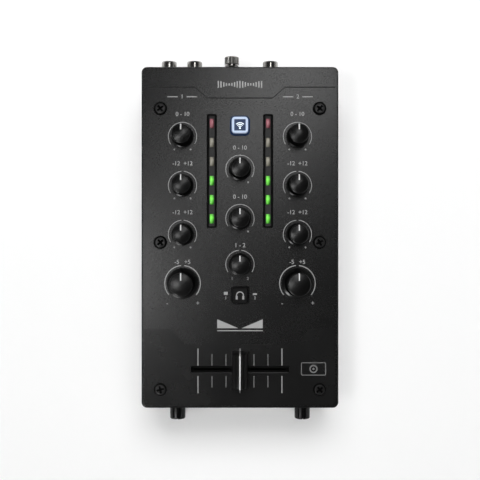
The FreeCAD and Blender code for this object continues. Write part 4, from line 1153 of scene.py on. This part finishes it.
def knob_profile(base, top, flare, height):
    """Rings of a knob's outside, from its skirt up to the middle of its crown."""
    neck = SKIRT + flare * math.tan(FLARE_SLOPE)
    rings = [(base - 0.1, 0.0), (base, 0.1), (base, SKIRT - 0.1)]
    for share in (0.08, 0.16, 0.84, 0.92):
        rings.append((base - flare * share, SKIRT + flare * share * math.tan(FLARE_SLOPE)))
    rings.append((base - flare - 0.02, neck + 0.15))
    shoulder = height - CROWN_RISE - CROWN_EDGE
    rings.append((top, shoulder))
    crown = top - CROWN_EDGE
    for turn in [step * math.pi / 12 for step in range(1, 6)]:
        rings.append((crown + CROWN_EDGE * math.cos(turn), shoulder + CROWN_EDGE * math.sin(turn)))
    shares = [1 - step / 6 for step in range(0, 6)] + [0.04]
    return rings + [(crown * share, height - CROWN_RISE * share ** 2) for share in shares]


for name, spot in knob_spots.items():
    body = name.replace("knob", "control")
    knob_low, knob_high = span(name)
    base = (knob_high[0] - knob_low[0]) / 2
    top, flare = KNOB_SHAPES["filter" if name.startswith("filter") else "plain"]
    outside = knob_profile(base, top, flare, knob_high[2] - knob_low[2])
    seat = (*spot, knob_low[2])
    knob = turned(f"{name}_cap", [(SHAFT_FIT, BORE_DEPTH), (SHAFT_FIT, 0.0), *outside], sides=72)
    fit(put(knob, seat), knob_satin, body, "knob_plastic", name)
    crown = [ring for ring in reversed(outside) if ring[0] > POINTER_START and ring[1] > SKIRT + 2]
    line = [(radius, rise + BEDDED) for radius, rise in crown[:-3]]
    line.insert(0, (POINTER_START, line[0][1] + 0.03))
    pointer = strip(f"{name}_pointer", line, POINTER_WIDTH, LINE_THICKNESS)
    fit(put(pointer, seat), pointer_white, body, "knob_plastic")

# Fader cap: a moulded black cap with hollowed flanks and a narrow ridge, pushed onto the stem of
# the carriage, with a white line along the ridge and down both ends.

cap_low, cap_high = span("fader_cap")
cap_height = cap_high[2] - cap_low[2]
cap_length = cap_high[1] - cap_low[1]
CAP_HALF = 4.2
RIDGE_LINE = 0.68
RIDGE_HALF = 1.1
SIDE_HEIGHT = 5.6
FLANK_STEPS = 8
FLANK_HOLLOW = 1.6
END_LEAN = 1.4
GRIP_ROUND = 0.25
flank = [(CAP_HALF, 0.0), (CAP_HALF - 0.3, SIDE_HEIGHT - 0.3)]
for step in range(FLANK_STEPS + 1):
    share = 1 - step / FLANK_STEPS
    flank.append((RIDGE_HALF + 0.15 + (CAP_HALF - 0.5 - RIDGE_HALF) * share ** FLANK_HOLLOW,
                  cap_height - 0.25 - (cap_height - 0.25 - SIDE_HEIGHT) * share))
flank.append((RIDGE_HALF - 0.15, cap_height))
profile = [(-x, z) for x, z in flank] + list(reversed(flank))
fader_cap = strip("fader_grip", profile, cap_length, 0)
bpy.ops.object.mode_set(mode="EDIT")
for side in (-1, 1):
    pick("EDGE", lambda at, edge: abs(at.x - side * cap_length / 2) < 1e-3)
    bpy.ops.mesh.edge_face_add()
pick("EDGE", lambda at, edge: abs(at.z) < 1e-3 and abs(at.x) < 1e-3)
bpy.ops.mesh.edge_face_add()
outward()
for side in (-1, 1):
    bpy.ops.mesh.select_all(action="SELECT")
    bpy.ops.mesh.bisect(plane_co=(side * cap_length / 2 * MM, 0, 0),
                        plane_no=(side * 1.0, 0, END_LEAN / cap_height), clear_outer=True, use_fill=True)
outward()
bpy.ops.mesh.select_all(action="DESELECT")
bpy.ops.mesh.edges_select_sharp(sharpness=math.radians(50))
bevel(GRIP_ROUND, 2)
done(fader_cap, "fader_grip", 40)
put(fader_cap, (0, fader_y, cap_low[2]), (0, 0, math.pi / 2))
grip_black = surface("grip_black", paint(9), 0.38, 0.4, 0.008, shine=0.4)
fit(fader_cap, grip_black, "crossfader", "knob_plastic", "fader_cap")
lean = END_LEAN / (cap_height + 1)
end_top = cap_length / 2 - lean * cap_height
line_end = [(end_top - 0.15, cap_height + BEDDED), (end_top + 0.1, cap_height - 0.2),
            (cap_length / 2 + BEDDED, 0.6)]
line_path = [(-y, z) for y, z in reversed(line_end)] + line_end
ridge_line = strip("fader_line", line_path, RIDGE_LINE, LINE_THICKNESS)
put(ridge_line, (0, fader_y, cap_low[2]))
fit(ridge_line, pointer_white, "crossfader", "knob_plastic")

# Studio: a white floor in a room with white walls and a dark ceiling; far off, the floor glows so that it
# runs into the walls. A long soft box overhead gives the coat its slanting glow, one further back lights
# the phono shells, and others fill in from the sides. The camera looks straight down.

FLOOR_SIZE = 6000.0
NEAR_FLOOR = 150.0
FAR_FLOOR = 1800.0
WALL_LIGHT = 0.5
WALL_FADE = (0.3, 0.55)
CEILING_LIGHT = 0.02
bpy.ops.mesh.primitive_plane_add(size=FLOOR_SIZE * MM, location=(0, 0, 0))
floor = bpy.context.object
floor.name = "floor"
floor_matt = {"Roughness": 0.9, "Specular IOR Level": 0.0, "Emission Strength": 1.0}
floor_white, place = new_finish("floor_white", floor_matt)
reach = place.node("ShaderNodeVectorMath", {"operation": "LENGTH"}, {0: place}, "Value") * (1 / MM)
far = reach.ease(NEAR_FLOOR, FAR_FLOOR, 0.0, 1.0)
feed(floor_white, {
    "Base Color": place.noise(400.0).blend(paint(253), paint(255)),
    "Emission Color": far.blend([0.0] * 3, [WALL_LIGHT] * 3),
})
floor.data.materials.append(floor_white)

world = bpy.data.worlds.new("studio")
bpy.context.scene.world = world
world.use_nodes = True
room = world.node_tree
direction = Value(room, room.nodes.new("ShaderNodeTexCoord").outputs["Generated"])
height = direction.node("ShaderNodeSeparateXYZ", {}, {"Vector": direction}, "Z")
wall_light = height.ease(*WALL_FADE, WALL_LIGHT, CEILING_LIGHT)
room.links.new(wall_light.socket, room.nodes["Background"].inputs["Strength"])
room.nodes["Background"].inputs["Color"].default_value = (1, 1, 1, 1)


def soft_box(name, turn, tilt, distance, size, level, roll=0, glint=True, fill=True):
    """A lamp aimed at the cover. Turn is from the rear towards +X and tilt from overhead, in degrees.
    Distance and the two sides are in mm, and level is the share of white that it gives a level surface.
    One without glint stands for a lamp behind a polariser, whose reflection the camera's own filter
    takes out. One without fill only gives reflections."""
    turn, tilt = math.radians(turn), math.radians(tilt)
    away = Vector((math.sin(turn) * math.sin(tilt), math.cos(turn) * math.sin(tilt), math.cos(tilt)))
    lamp = bpy.data.lights.new(name, "AREA")
    lamp.shape = "RECTANGLE"
    lamp.size, lamp.size_y = size[0] * MM, size[1] * MM
    lamp.energy = level * (math.pi * distance * MM) ** 2 / math.cos(tilt)
    box = bpy.data.objects.new(name, lamp)
    bpy.context.collection.objects.link(box)
    box.location = (away * distance + Vector((0, 0, TOP))) * MM
    box.rotation_euler = (away.to_track_quat("Z", "Y") @ Quaternion((0, 0, 1), math.radians(roll))).to_euler()
    box.visible_glossy = glint
    box.visible_diffuse = fill


soft_box("strip_box", -31, 6.3, 907, (120, 640), 0.035, -74)
soft_box("left_box", -103, 17, 950, (160, 160), 0.09)
soft_box("top_box", 5, 10.2, 950, (120, 120), 0.021)
soft_box("rear_box", 16, 18.8, 950, (180, 100), 0.045, -16)
soft_box("front_box", -148, 56, 420, (100, 100), 0.16, fill=False)
soft_box("left_fill", -90, 17, 1000, (120, 120), 0.04, glint=False)
soft_box("right_fill", 90, 22, 1000, (160, 160), 0.04, glint=False)
soft_box("rear_fill", 0, 29, 1200, (700, 420), 0.42, glint=False)
soft_box("overhead_fill", 0, 0, 1200, (120, 120), 0.354, glint=False)

CAMERA_HEIGHT = 455.0
CAMERA_SPOT = (0.02, -1.4)
VIEW_ANGLE = 31.58
camera = bpy.data.objects.new("camera", bpy.data.cameras.new("camera"))
bpy.context.collection.objects.link(camera)
camera.location = [value * MM for value in (*CAMERA_SPOT, TOP + CAMERA_HEIGHT)]
camera.data.sensor_width = 36.0
camera.data.lens = camera.data.sensor_width / 2 / math.tan(math.radians(VIEW_ANGLE / 2))
camera.data.clip_start = 0.01
bpy.context.scene.camera = camera
bpy.context.scene.view_settings.view_transform = "Standard"
